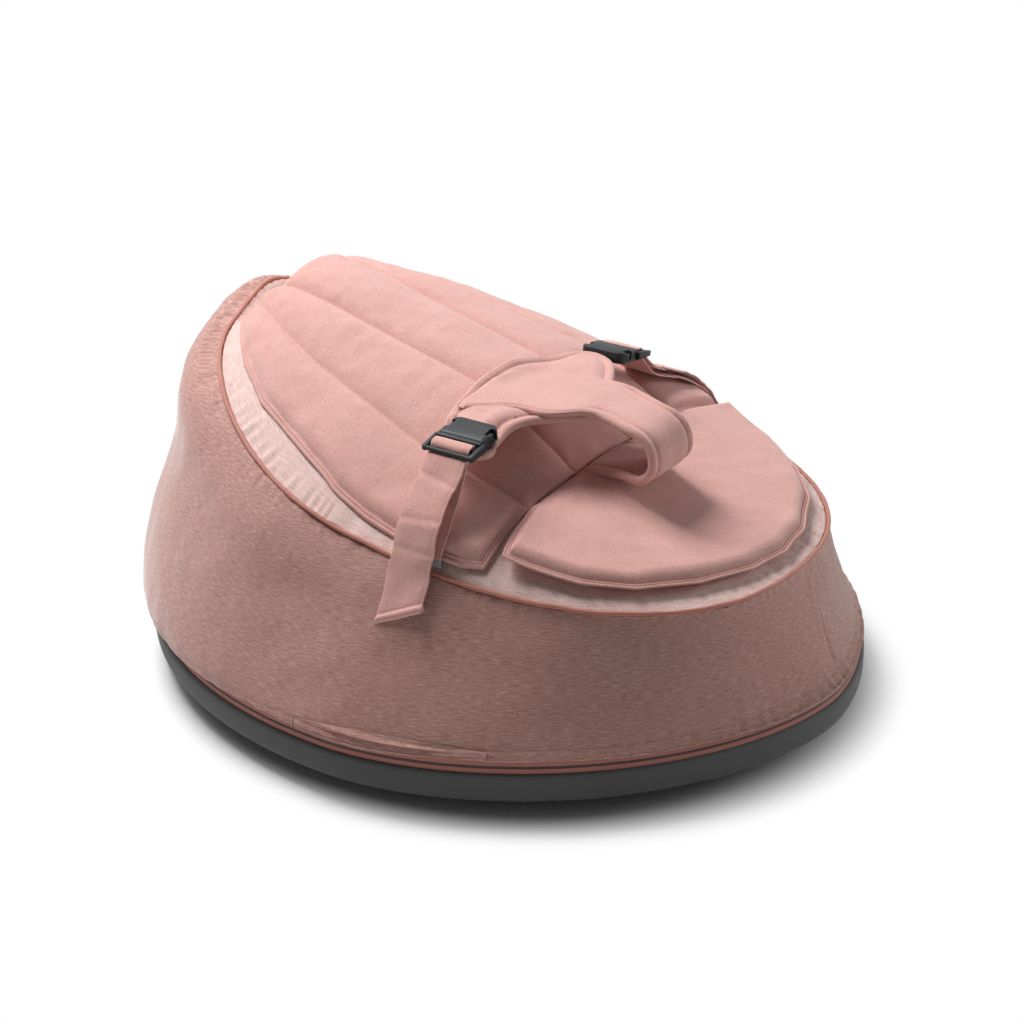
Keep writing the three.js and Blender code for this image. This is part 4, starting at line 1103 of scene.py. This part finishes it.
def block(size, middle, round_off, segments=3):
    """A moulded block at its size and place, all its edges rounded."""
    made = sharp_block(size, middle)
    bpy.ops.object.mode_set(mode="EDIT")
    bpy.ops.mesh.select_all(action="SELECT")
    bpy.ops.mesh.bevel(offset=round_off, segments=segments, affect="EDGES")
    bpy.ops.object.mode_set(mode="OBJECT")
    return made


def start_edit(piece, mode, wanted):
    """Starts editing a piece with the faces or edges that a test accepts selected."""
    select_only(piece)
    bpy.ops.object.mode_set(mode="EDIT")
    bpy.ops.mesh.select_mode(type=mode)
    bpy.ops.mesh.select_all(action="DESELECT")
    bpy.ops.object.mode_set(mode="OBJECT")
    corners = piece.data.vertices
    for part in piece.data.polygons if mode == "FACE" else piece.data.edges:
        part.select = wanted([corners[number].co for number in part.vertices])
    bpy.ops.object.mode_set(mode="EDIT")


def end_edit(piece):
    bpy.ops.object.mode_set(mode="OBJECT")
    piece.select_set(False)


def combine(piece, others, operation):
    """Joins solids to a piece or cuts them out of it."""
    for other in others:
        apply_modifier(piece, "BOOLEAN", object=other, operation=operation, solver="EXACT")
        bpy.data.objects.remove(other)
    return piece


def moulded_resin(name, shade, roughness, grain=0.12):
    """Moulded resin: an even colour, a finely sparked surface and faint rubbed patches."""
    finish = Finish(name, Base_Color=(*shade, 1), Specular_IOR_Level=0.28)
    spark = finish.noise(finish.solid_way(), 1400, 2)
    rubbed = finish.noise(finish.solid_way(), 60, 3, 0.6)
    finish.rough(rubbed * 0.22 + spark * 0.1 + (roughness - 0.16))
    finish.relief(spark, grain * mm)
    return finish


socket = sharp_block((socket_wide, socket_long, buckle_thick - plateau_step), (0, mouth - socket_long / 2, 0))
back_y = mouth - socket_long
start_edit(socket, "EDGE", lambda ends: all(end.y < back_y + mm for end in ends)
           and abs(ends[0].z - ends[1].z) > mm)
bpy.ops.mesh.bevel(offset=back_round, segments=8, affect="EDGES")
end_edit(socket)
start_edit(socket, "FACE", lambda ends: min(end.z for end in ends) > 0)
bpy.ops.mesh.inset(thickness=plateau_inset)
bpy.ops.transform.translate(value=(0, 0, plateau_step))
end_edit(socket)
apply_modifier(socket, "BEVEL", width=0.7 * mm, segments=3, limit_method="ANGLE",
               angle_limit=math.radians(25))
cavity = block((cavity_wide, cavity_long, cavity_thick), (0, mouth + 2 * mm - cavity_long / 2, 0), 0.6 * mm)
notches = [block((2 * window_deep, window_long, buckle_thick),
                 (side * socket_wide / 2, window_y, 3 * mm), 0.8 * mm) for side in (-1, 1)]
combine(socket, [cavity, *notches], "DIFFERENCE")

ladder_middle = ladder_start + ladder_long / 2
plug = block((socket_wide, 5 * mm, buckle_thick - 0.4 * mm), (0, ladder_start + 2.5 * mm, 0), 0.8 * mm)
rails = [block((rail_wide, ladder_long, rail_thick),
               (side * (ladder_wide - rail_wide) / 2, ladder_middle, 0), 1.1 * mm) for side in (-1, 1)]
for rail in rails:
    for corner in rail.data.vertices:
        slimmed = float(smooth(ladder_start, ladder_start + ladder_long, corner.co.y))
        corner.co.z *= lerp(1, rail_end_share, slimmed)
outer_bar = block((ladder_wide - mm, 4 * mm, 4.8 * mm), (0, outer_bar_y, 0), 1.7 * mm, 4)
inner_bar = block((ladder_wide - rail_wide, 3.6 * mm, 4 * mm), (0, inner_bar_y, 0), 1.2 * mm)
tongue = block((12 * mm, 18.6 * mm, 4 * mm), (0, ladder_start - 8.7 * mm, 0), 0.8 * mm)
combine(plug, [*rails, outer_bar, inner_bar, tongue], "UNION")

prong_long = mouth - prong_tip
prong = block((4 * mm, prong_long, 5 * mm), (prong_middle, (mouth + prong_tip) / 2, 0), 0.7 * mm)
button = block((button_deep, button_long, button_thick),
               (prong_middle - 2 * mm + button_deep / 2, prong_tip + button_long / 2, 0), 1.1 * mm, 4)
combine(prong, [button], "UNION")

buckle_resin = moulded_resin("charcoal_resin", (0.014, 0.016, 0.018), 0.50)
buckle_places = {
    side: Matrix.Translation((buckle_x, harness_y + sign * buckle_reach, buckle_height))
    @ Matrix.Rotation(math.pi if sign < 0 else 0, 4, "Z") @ Matrix.Rotation(-buckle_tilt, 4, "X")
    for side, sign in (("near", -1), ("far", 1))}
mirrored = Matrix.Diagonal((-1, 1, 1, 1))


def moulding(name, model, placed, node, body):
    """A copy of a moulded part at its place, with its own mesh."""
    mesh = model.data.copy()
    mesh.transform(placed)
    if placed.determinant() < 0:
        mesh.flip_normals()
    piece = put_in_scene(name, mesh)
    select_only(piece)
    bpy.ops.object.shade_smooth_by_angle(angle=crease_angle)
    piece.select_set(False)
    wear(piece, buckle_resin)
    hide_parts(node)
    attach(piece, body)


for side, place in buckle_places.items():
    moulding(side + "_socket_moulding", socket, place, side + "_buckle_socket", "tray")
    moulding(side + "_plug_moulding", plug, place, side + "_buckle_plug", side + "_plug")
    for end, toward_foot in (("head", -1), ("foot", 1)):
        turned = toward_foot if side == "far" else -toward_foot
        name = f"{side}_{end}_prong"
        moulding(name + "_moulding", prong, place if turned > 0 else place @ mirrored, name, name)
for model in (socket, plug, prong):
    bpy.data.objects.remove(model)


# Harness straps: flat tubes of the same velour, stitched along one edge. Each anchor strap rises from
# the nest's rim under the buckle, turns round the ladder and leaves as a tail with a rolled hem.
strap_wide, strap_thick = 43 * mm, 2.2 * mm
stitch_in, stitch_proud = 3 * mm, 0.15 * mm
hem_long, hem_radius = 8.5 * mm, 3.4 * mm
strap_stations = 27


def flat_strap(name, path, turns, wide, thick, folds=(), hem=0.0, slant=0.0, seed=71):
    """A flat sewn strap along a path. Its width lies along X, turned in plan by a slope at each end."""
    line = smooth_line(path, 1.2 * mm)
    share = np.linspace(0, 1, len(line))
    length = float(run_along(line)[-1])
    aside = unit(np.stack([np.ones(len(line)), lerp(*turns, smooth(0, 1, share)), np.zeros(len(line))], -1))
    heading = unit(np.gradient(line, axis=0))
    off = unit(np.cross(aside, heading))
    side_angle = np.linspace(0, 2 * np.pi, 2 * strap_stations, endpoint=False)
    # Superellipse section: flat faces and round edges.
    column = np.sign(np.cos(side_angle)) * np.abs(np.cos(side_angle)) ** 0.5
    face = np.sign(np.sin(side_angle)) * np.abs(np.sin(side_angle)) ** 0.22
    run = share * length
    to_end = (1 - share) * length
    half = np.full((len(line), 1), thick / 2)
    if hem:
        rolled_hem = np.clip(1 - ((to_end - hem / 2) / (hem / 2)) ** 2, 0, 1)
        half = np.maximum(half, hem_radius * np.sqrt(rolled_hem)[:, None])
        half = half - 0.35 * mm * groove(to_end - hem - 0.6 * mm, 0.8 * mm)[:, None]
    stitch = groove(column[None] * wide / 2 - (wide / 2 - stitch_in), 0.7 * mm)
    edge_soft = 0.5 * mm * ripples(line, 26 * mm, seed)[:, None]
    reach = column[None] * wide / 2 + edge_soft
    if hem:
        reach = reach * (1 + 0.05 * smooth(hem, hem / 2, to_end)[:, None])
    bend = np.zeros((len(line), len(column)))
    for at, depth, lean in folds:
        bend += depth * groove(run[:, None] - at * length - lean * column[None], 3.5 * mm) \
            - 0.5 * depth * groove(run[:, None] - at * length - lean * column[None] - 7 * mm, 6 * mm)
    bend += 0.35 * mm * ripples(np.stack(np.broadcast_arrays(run[:, None], reach), -1), 38 * mm, seed + 1)
    thickness = face[None] * (half - 0.4 * mm * stitch) + bend
    skew = slant * smooth(0.5, 1, share)[:, None] * column[None]
    points = line[:, None] + aside[:, None] * reach[..., None] + off[:, None] * thickness[..., None] \
        - heading[:, None] * skew[..., None]
    girths = np.append(0, np.cumsum(np.full(len(column), 2 * wide / len(column))))
    strap = cloth_mesh(name, points, True, np.stack(np.meshgrid(girths, run), -1))
    seal(strap)
    strap.data.shade_smooth()
    outer = np.sign((off[-1] * line[-1])[:2].sum())
    sewn = np.argmin(np.abs(column * wide / 2 - (wide / 2 - stitch_in)) + (face * outer < 0) * wide)
    return strap, length, points[:, sewn] + off * outer * stitch_proud


def stitches(name, line, pitch, long, thread, finish, body):
    """A row of thread stitches along a line, each a small closed bead."""
    row = smooth_line(line, pitch)
    bead = Matrix.Diagonal((long / 2, thread, thread, 1))
    made = put_in_scene(name, bpy.data.meshes.new(name))
    with opened(made.data) as sewn:
        for here, after in zip(row[:-1], row[1:]):
            turned = Vector(after - here).normalized().to_track_quat("X", "Z").to_matrix().to_4x4()
            bmesh.ops.create_icosphere(sewn, subdivisions=1, radius=1,
                                       matrix=Matrix.Translation((here + after) / 2) @ turned @ bead)
    made.data.shade_smooth()
    wear(made, finish)
    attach(made, body)
    return made


def thread(name, shade):
    """Spun sewing thread, finely ribbed by its twist."""
    finish = Finish(name, Base_Color=(*shade, 1), Roughness=0.6)
    finish.relief(finish.noise(finish.solid_way(), 2500, 2), 0.1 * mm)
    return finish


def on_buckle(side, places):
    """Places in a buckle's own Y and Z, in millimetres, as places in the nest."""
    return [tuple(buckle_places[side] @ Vector((0, y * mm, z * mm))) for y, z in places]


# Round the ladder: up past the shoulder, over the inner bar and down under the outer bar.
threaded = [(9.7, -3.0), (9.8, 1.2), (11.0, 4.4), (14.5, 5.2), (18.8, 4.4), (21.0, 1.6), (21.8, -1.6),
            (23.4, -4.0), (26.0, -4.7), (29.0, -4.9)]
tail_places = {
    "near": [(66, -210, 285), (66, -220, 275.5), (66, -232, 265), (66.5, -241, 255), (67, -247.5, 244),
             (67.5, -253.5, 232), (68, -259, 219), (68.5, -265, 205), (69, -272, 192), (70, -280, 179),
             (70.5, -284, 172)],
    "far": [(66.5, 140, 292), (68, 153, 282), (71, 177, 272), (74, 204, 260), (77, 230, 245), (80, 253, 225),
            (82, 270, 204), (84, 282, 186), (86, 291, 168)],
}
anchor_places = {
    "near": [(72, -248.6, 222), (71, -241, 233), (70, -228, 248), (68.5, -214.5, 265), (67.5, -203.5, 281),
             (67, -197, 292)],
    "far": [(84, 246.8, 221), (82, 239.5, 231), (80, 228, 239), (76, 204, 253.5), (72, 178, 263),
            (69, 160, 270.5), (67.5, 147, 279), (66.6, 137, 288.5)],
}
under_ladder = [(25.0, -7.4), (20.5, -6.8), (15.5, -6.2), (12.4, -5.4)]
tail_folds = [(0.28, 0.9 * mm, 4 * mm), (0.50, 0.8 * mm, -2 * mm), (0.66, 0.6 * mm, 3 * mm)]
strap_velour = velour("strap_velour", 0.7)
strap_thread = thread("strap_thread", (0.78, 0.47, 0.42))
rim_slope = 0.153
tail_clear, tail_slant = 4.5 * mm, 10 * mm
anchor_wide = strap_wide - 2 * mm


def clear_of_panel(place, sign):
    """A place of a tail, moved out where the side panel would be in its way."""
    x, y, z = np.array(place) * mm
    panel = side_points[(np.abs(side_points[..., 0] - x) < 6 * mm) & (side_points[..., 1] * sign > 0)]
    panel = panel[np.argsort(panel[:, 2])]
    if z < panel[-1, 2]:
        y = sign * max(abs(y), np.interp(z, panel[:, 2], np.abs(panel[:, 1])) + tail_clear)
    return x, y, z


for side, sign in (("near", -1), ("far", 1)):
    route = on_buckle(side, threaded) + [clear_of_panel(place, sign) for place in tail_places[side]]
    tail, tail_length, tail_seam = flat_strap(
        side + "_tail_velour", route, (0, -sign * rim_slope), strap_wide, strap_thick, tail_folds, hem_long,
        tail_slant)
    wear(tail, strap_velour)
    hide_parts(side + "_strap_tail")
    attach(tail, side + "_plug")
    seam = stitches(side + "_tail_seam", tail_seam[24:-6], 2.6 * mm, 2.3 * mm, 0.32 * mm, strap_thread,
                    side + "_plug")

    climb = [tuple(np.array(place) * mm) for place in anchor_places[side]] + on_buckle(side, under_ladder)
    anchor, anchor_length, _ = flat_strap(
        side + "_anchor_velour", climb, (-sign * rim_slope, 0), anchor_wide, strap_thick,
        [(0.45, 0.7 * mm, 3 * mm)], seed=73)
    wear(anchor, strap_velour)
    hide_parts(side + "_anchor_strap")
    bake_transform(anchor)


# Anchor tabs: grey polyester webbing folded round the end of each anchor strap and sewn into the rim.
def webbing(name, shade, deep, rib):
    """Flat webbing: ribs across it, and a dry speckle."""
    finish = Finish(name, Roughness=0.8)
    ribs = finish.threads(finish.solid_way(), rib, "X", 0.4)
    speck = finish.noise(finish.solid_way(), 700, 2)
    finish.paint(finish.blend((*deep, 1), (*shade, 1), ribs * 0.6 + speck * 0.4))
    finish.relief(ribs * 0.7 + speck * 0.3, 0.3 * mm)
    return finish


tab_wide, tab_thick = 42 * mm, 1.8 * mm
grey_webbing = webbing("grey_webbing", (0.36, 0.37, 0.38), (0.22, 0.22, 0.23), 0.9 * mm)
for side, sign in (("near", -1), ("far", 1)):
    low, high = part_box(side + "_anchor_tab")
    middle_x = anchor_places[side][0][0] * mm
    out = (low.y + high.y) / 2 - sign * rim_slope * (middle_x - (low.x + high.x) / 2)
    tab_line = [(middle_x, out - sign * inwards_here, height) for inwards_here, height in (
        (0, low.z - mm), (0, low.z + 3 * mm), (0.6 * mm, high.z - mm), (2.6 * mm, high.z + 2 * mm))]
    tab, tab_length, _ = flat_strap(side + "_anchor_webbing", tab_line, (-sign * rim_slope, -sign * rim_slope),
                                    tab_wide, tab_thick, seed=75)
    wear(tab, grey_webbing)
    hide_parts(side + "_anchor_tab")
    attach(tab, "tray")


# Zip end flap: a strip of the side jersey that hides the end of the zip. It is sewn on along its upper
# edge, hemmed below, and falls in one long fold between a bar tack at each end.
flap_from_x, flap_to_x = -2 * mm, 182 * mm
flap_clear, fold_deep, flap_fabric = 1.3 * mm, 3.2 * mm, 1.1 * mm
# Shares of the side panel's height at the flap's two edges, at its ends and further at its middle.
hem_share, hem_lower, top_share, top_higher = 0.020, 0.016, 0.058, 0.044
fold_at, fold_slope, fold_wave = 0.62, 0.22, 0.03
hem_at, seam_at, hem_groove_deep, hem_groove_wide = 0.12, 0.98, 0.35 * mm, 0.03


def tray_angle(x):
    """The angle at which the tray's outline passes a length x on the near side."""
    side = tray.foot if x > tray.widest else tray.head
    along = abs((x - tray.widest) / (side - tray.widest)) ** (float(tray.power(x)) / 2)
    return 2 * math.pi - math.acos(math.copysign(along, side))


flap_rows, flap_columns = 64, 220
u_grid, v_grid = np.meshgrid(np.linspace(0, 1, flap_columns), np.linspace(0, 1, flap_rows))
flap_x = lerp(flap_from_x, flap_to_x, np.linspace(0, 1, flap_columns))
flap_angles = np.broadcast_to([tray_angle(x) for x in flap_x], u_grid.shape)
lens = np.sin(np.pi * u_grid) ** 0.8
flap_shares = lerp(hem_share - hem_lower * lens, top_share + top_higher * lens, v_grid)
flap_points = side_place(flap_angles, flap_shares)
flap_normals = grid_normals(flap_points, False)
above_fold = v_grid - (fold_at - fold_slope * u_grid + fold_wave * np.sin(3 * np.pi * u_grid))
fold_long = smooth(0.10, 0.34, u_grid) * smooth(0.86, 0.58, u_grid)
fold = fold_long * smooth(-0.02, 0.02, above_fold) * smooth(0.36, 0.02, above_fold)
hang = 1.4 * mm * lens * smooth(0.5, 0, v_grid) + 0.2 * mm * ripples(flap_points, 30 * mm, 81)
sewn_in = smooth(1, 0.90, v_grid)
flap_off = side_relief(flap_angles, flap_points) + sewn_in * (flap_clear + fold_deep * fold + hang)
flap_off -= hem_groove_deep * groove(v_grid - hem_at, hem_groove_wide)
zip_flap = cloth_mesh("zip_flap_jersey", flap_points + flap_normals * flap_off[..., None])
apply_modifier(zip_flap, "SOLIDIFY", thickness=flap_fabric, offset=-1)
wear(zip_flap, side_jersey_painted_shade)
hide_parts("zip_end_flap")
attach(zip_flap, "tray")
flap_thread = thread("flap_thread", (0.13, 0.055, 0.045))
thread_end = 3 * mm


def on_flap(proud):
    """The flap's grid of points, a little proud of it."""
    return flap_points + flap_normals * (flap_off + proud)[..., None]


seam_line = on_flap(0.3 * mm)[int(seam_at * (flap_rows - 1)), 2:-2]
seam = stitches("zip_flap_seam", seam_line, 1.9 * mm, 2.1 * mm, 0.4 * mm, flap_thread, "tray")
hem_line = on_flap(0.1 * mm)[int(hem_at * (flap_rows - 1)), 12:-12]
hem = stitches("zip_flap_hem", hem_line, 2.4 * mm, 2.0 * mm, 0.36 * mm, flap_thread, "tray")
for end, column in (("head", 1), ("foot", -2)):
    tack_line = on_flap(0.3 * mm)[::-4, column]
    tack_line = np.concatenate([tack_line, tack_line[-1:] - [0, 0, thread_end]])
    tack = stitches(f"zip_flap_{end}_tack", tack_line, 0.7 * mm, 1.5 * mm, 0.4 * mm, flap_thread, "tray")


# Zip slider: cast zinc, plated. Its body rides on the teeth, and the pull hangs from its bridge. It is
# parked on the far side.
slider_low, slider_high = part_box("zip_slider")
slider_middle = (slider_low + slider_high) / 2
slider_body = block((11.6 * mm, 2.0 * mm, 7.6 * mm), (0, 0, 0), 0.7 * mm)
start_edit(slider_body, "FACE", lambda ends: max(end.x for end in ends) < -4.6 * mm)
bpy.ops.transform.resize(value=(1, 1, 0.62))
end_edit(slider_body)
bridge = block((7 * mm, 1.3 * mm, 2.4 * mm), (0.5 * mm, 2.1 * mm, 0.8 * mm), 0.5 * mm)
bridge_feet = [block((1.6 * mm, 2.4 * mm, 2.4 * mm), (foot_x, 1.2 * mm, 0.8 * mm), 0.4 * mm)
               for foot_x in (-2.2 * mm, 3.2 * mm)]
pull = block((4.6 * mm, 1.1 * mm, 17 * mm), (0.5 * mm, 2.9 * mm, -6.6 * mm), 0.45 * mm)
start_edit(pull, "FACE", lambda ends: max(end.z for end in ends) < -14.4 * mm)
bpy.ops.transform.resize(value=(1.45, 1, 1))
end_edit(pull)
pull_hole = block((2.2 * mm, 4 * mm, 3.2 * mm), (0.5 * mm, 2.9 * mm, -10.6 * mm), 0.4 * mm)
combine(pull, [pull_hole], "DIFFERENCE")
combine(slider_body, [bridge, *bridge_feet, pull], "UNION")
slider_body.data.transform(Matrix.Translation(slider_middle))
slider_body.name = slider_body.data.name = "zip_slider_casting"
plated = Finish("plated_zinc", Base_Color=(0.50, 0.49, 0.48, 1), Metallic=1.0)
brushed = plated.noise(plated.solid_way((1, 1, 0.2)), 900, 3)
plated.rough(brushed * 0.25 + 0.22)
plated.relief(brushed, 0.04 * mm)
wear(slider_body, plated)
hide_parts("zip_slider")
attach(slider_body, "tray")


# Bag floor: grey cloth under the beads. It lies on the tray's board and is sewn to the zip all round.
floor_low, floor_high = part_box("bag_floor")
floor_fabric, floor_inset = floor_high.z - floor_low.z, 4.8 * mm
angle_grid, inward_grid = np.meshgrid(angles[::4], np.linspace(0, 1, 30)[:-1])
edge, _ = tray.place(angle_grid, floor_inset + 0 * angle_grid)
plan = lerp(edge, np.array([tray.widest, 0]), inward_grid[..., None])
bag_floor = cloth_mesh("bag_floor_canvas", at_height(plan, np.full(plan.shape[:2], floor_high.z)), True)
close_middle(bag_floor, tray)
apply_modifier(bag_floor, "SOLIDIFY", thickness=floor_fabric, offset=-1)
wear(bag_floor, canvas)
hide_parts("bag_floor")
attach(bag_floor, "tray")


# Tray board, tray ring and bearing blocks: moulded resin, a dark one above and a pale one that the
# axle turns in. They keep the shapes of their solids.
def dress(finish, *nodes):
    """Gives a finish to nodes that keep their own shape."""
    for node in nodes:
        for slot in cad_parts[node].material_slots:
            slot.material = finish.material


dress(moulded_resin("tray_resin", (0.040, 0.043, 0.045), 0.6, 0.2), "tray_board", "tray_ring")
dress(moulded_resin("bearing_resin", (0.66, 0.66, 0.63), 0.5), "near_bearing_block", "far_bearing_block")


# Floor frame: black powder-coated square tubes and brackets on rubber feet, with a bright steel axle
# that two clips keep in place.
powder_coat = Finish("powder_coat", Base_Color=(0.026, 0.028, 0.030, 1))
orange_peel = powder_coat.noise(powder_coat.solid_way(), 420, 2)
powder_coat.rough(orange_peel * 0.2 + 0.38)
powder_coat.relief(orange_peel, 0.25 * mm)
dress(powder_coat, "head_crossbar", "middle_crossbar", "foot_crossbar",
      *(f"{side}_{part}" for side in ("near", "far") for part in ("runner", "axle_bracket")))
drawn_steel = Finish("drawn_steel", Base_Color=(0.56, 0.56, 0.57, 1), Metallic=1.0)
drawing = drawn_steel.noise(drawn_steel.solid_way((1, 0.06, 1)), 1500, 3)
drawn_steel.rough(drawing * 0.25 + 0.18)
drawn_steel.relief(drawing, 0.03 * mm)
dress(drawn_steel, "axle_rod", "near_axle_clip", "far_axle_clip")
rubber = Finish("foot_rubber", Base_Color=(0.014, 0.014, 0.014, 1))
scuff = rubber.noise(rubber.solid_way(), 240, 3, 0.6)
rubber.rough(scuff * 0.2 + 0.72)
rubber.relief(scuff, 0.3 * mm)
dress(rubber, *(f"{side}_{end}_rubber_foot" for side in ("near", "far") for end in ("head", "foot")))


# Springs: four coils of spring steel wire, their end turns closed, between the frame and the board.
wire_radius, coil_radius, coil_turns = 1.3 * mm, 13 * mm, 3.5
coil_share = np.linspace(0, 1, 200)
coil_angle = 2 * np.pi * coil_turns * coil_share
coil_rise = lerp(coil_share, smooth(0.1, 0.9, coil_share), 0.75)
spring_steel = Finish("spring_steel", Base_Color=(0.42, 0.42, 0.43, 1), Metallic=1.0)
oiled = spring_steel.noise(spring_steel.solid_way(), 300, 3)
spring_steel.rough(oiled * 0.3 + 0.2)
for side in ("near", "far"):
    for end in ("head", "foot"):
        node = f"{side}_{end}_spring"
        low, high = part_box(node)
        middle = (low + high) / 2
        coil_line = np.stack([
            middle.x + coil_radius * np.cos(coil_angle), middle.y + coil_radius * np.sin(coil_angle),
            lerp(low.z + wire_radius, high.z - wire_radius, coil_rise)], -1)
        coil = tube(node + "_wire", coil_line, wire_radius, 12, False)
        wear(coil, spring_steel)
        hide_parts(node)
        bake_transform(coil)


# Stage: a pale floor that turns white away from the nest, three soft lamps and a dim white sky.
floor_size = 9
floor_colour = (0.92, 0.92, 0.92, 1)
shadow_reach, white_reach = 0.33, 0.395
bpy.ops.mesh.primitive_plane_add(size=floor_size)
floor = bpy.context.active_object
floor.name = "studio_floor"
floor_finish = Finish("studio_floor", Base_Color=floor_colour, Roughness=0.9, Specular_IOR_Level=0.1)
place = floor_finish.solid_way((0.9, 1, 1))
reach = floor_finish.node("ShaderNodeVectorMath", {"operation": "LENGTH"}, {"Vector": place}, "Value")
fade = floor_finish.node("ShaderNodeMapRange", {"interpolation_type": "SMOOTHSTEP"}, {
    "Value": reach, "From Min": shadow_reach, "From Max": white_reach})


def seen_rays(finish):
    """1 where a ray comes from the camera, a mirror or a glass."""
    rays = [finish.node("ShaderNodeLightPath", None, None, name)
            for name in ("Is Camera Ray", "Is Glossy Ray", "Is Transmission Ray")]
    both = rays[0].maths("MAXIMUM", rays[0], rays[1])
    return both.maths("MAXIMUM", both, rays[2])


white = floor_finish.node("ShaderNodeEmission", None, {"Strength": 1})
mixed = floor_finish.node("ShaderNodeMixShader", None, {
    0: fade * seen_rays(floor_finish), 1: Wire(floor_finish.tree, floor_finish.shader.outputs[0]), 2: white})
floor_finish.tree.links.new(mixed.socket, floor_finish.tree.nodes["Material Output"].inputs["Surface"])
wear(floor, floor_finish)

world = bpy.data.worlds.new("studio_sky")
world.use_nodes = True
bpy.context.scene.world = world
sky_strength = 0.12


class Sky(Finish):
    """The world's nodes, with the same ways of adding to them as a material's."""

    def __init__(self, sky):
        self.tree = sky.node_tree


sky = Sky(world)
seen = seen_rays(sky)
strength = seen * (1 - sky_strength) + sky_strength
sky.tree.links.new(strength.socket, world.node_tree.nodes["Background"].inputs["Strength"])
world.node_tree.nodes["Background"].inputs["Color"].default_value = (1, 1, 1, 1)


def soft_lamp(name, heading, distance, size, watts):
    """A square lamp that looks at the middle of the nest."""
    lamp = put_in_scene(name, bpy.data.lights.new(name, "AREA"))
    lamp.data.size = size
    lamp.data.energy = watts
    towards = Vector(heading).normalized()
    middle = Vector((0, 0, tray.half_width / 2))
    lamp.location = middle + towards * distance
    lamp.rotation_euler = towards.to_track_quat("Z", "Y").to_euler()


level_back = Vector((back.x, back.y, 0)).normalized()
soft_lamp("key_lamp", -0.46 * right - 0.30 * level_back + Vector((0, 0, 1)), 2.2, 1.0, 61)
soft_lamp("left_lamp", -1.0 * right - 0.55 * level_back + Vector((0, 0, 0.7)), 2.4, 1.0, 5)
soft_lamp("right_lamp", 1.0 * right - 0.15 * level_back + Vector((0, 0, 0.35)), 2.4, 1.0, 15)

bpy.context.scene.view_settings.view_transform = "Standard"
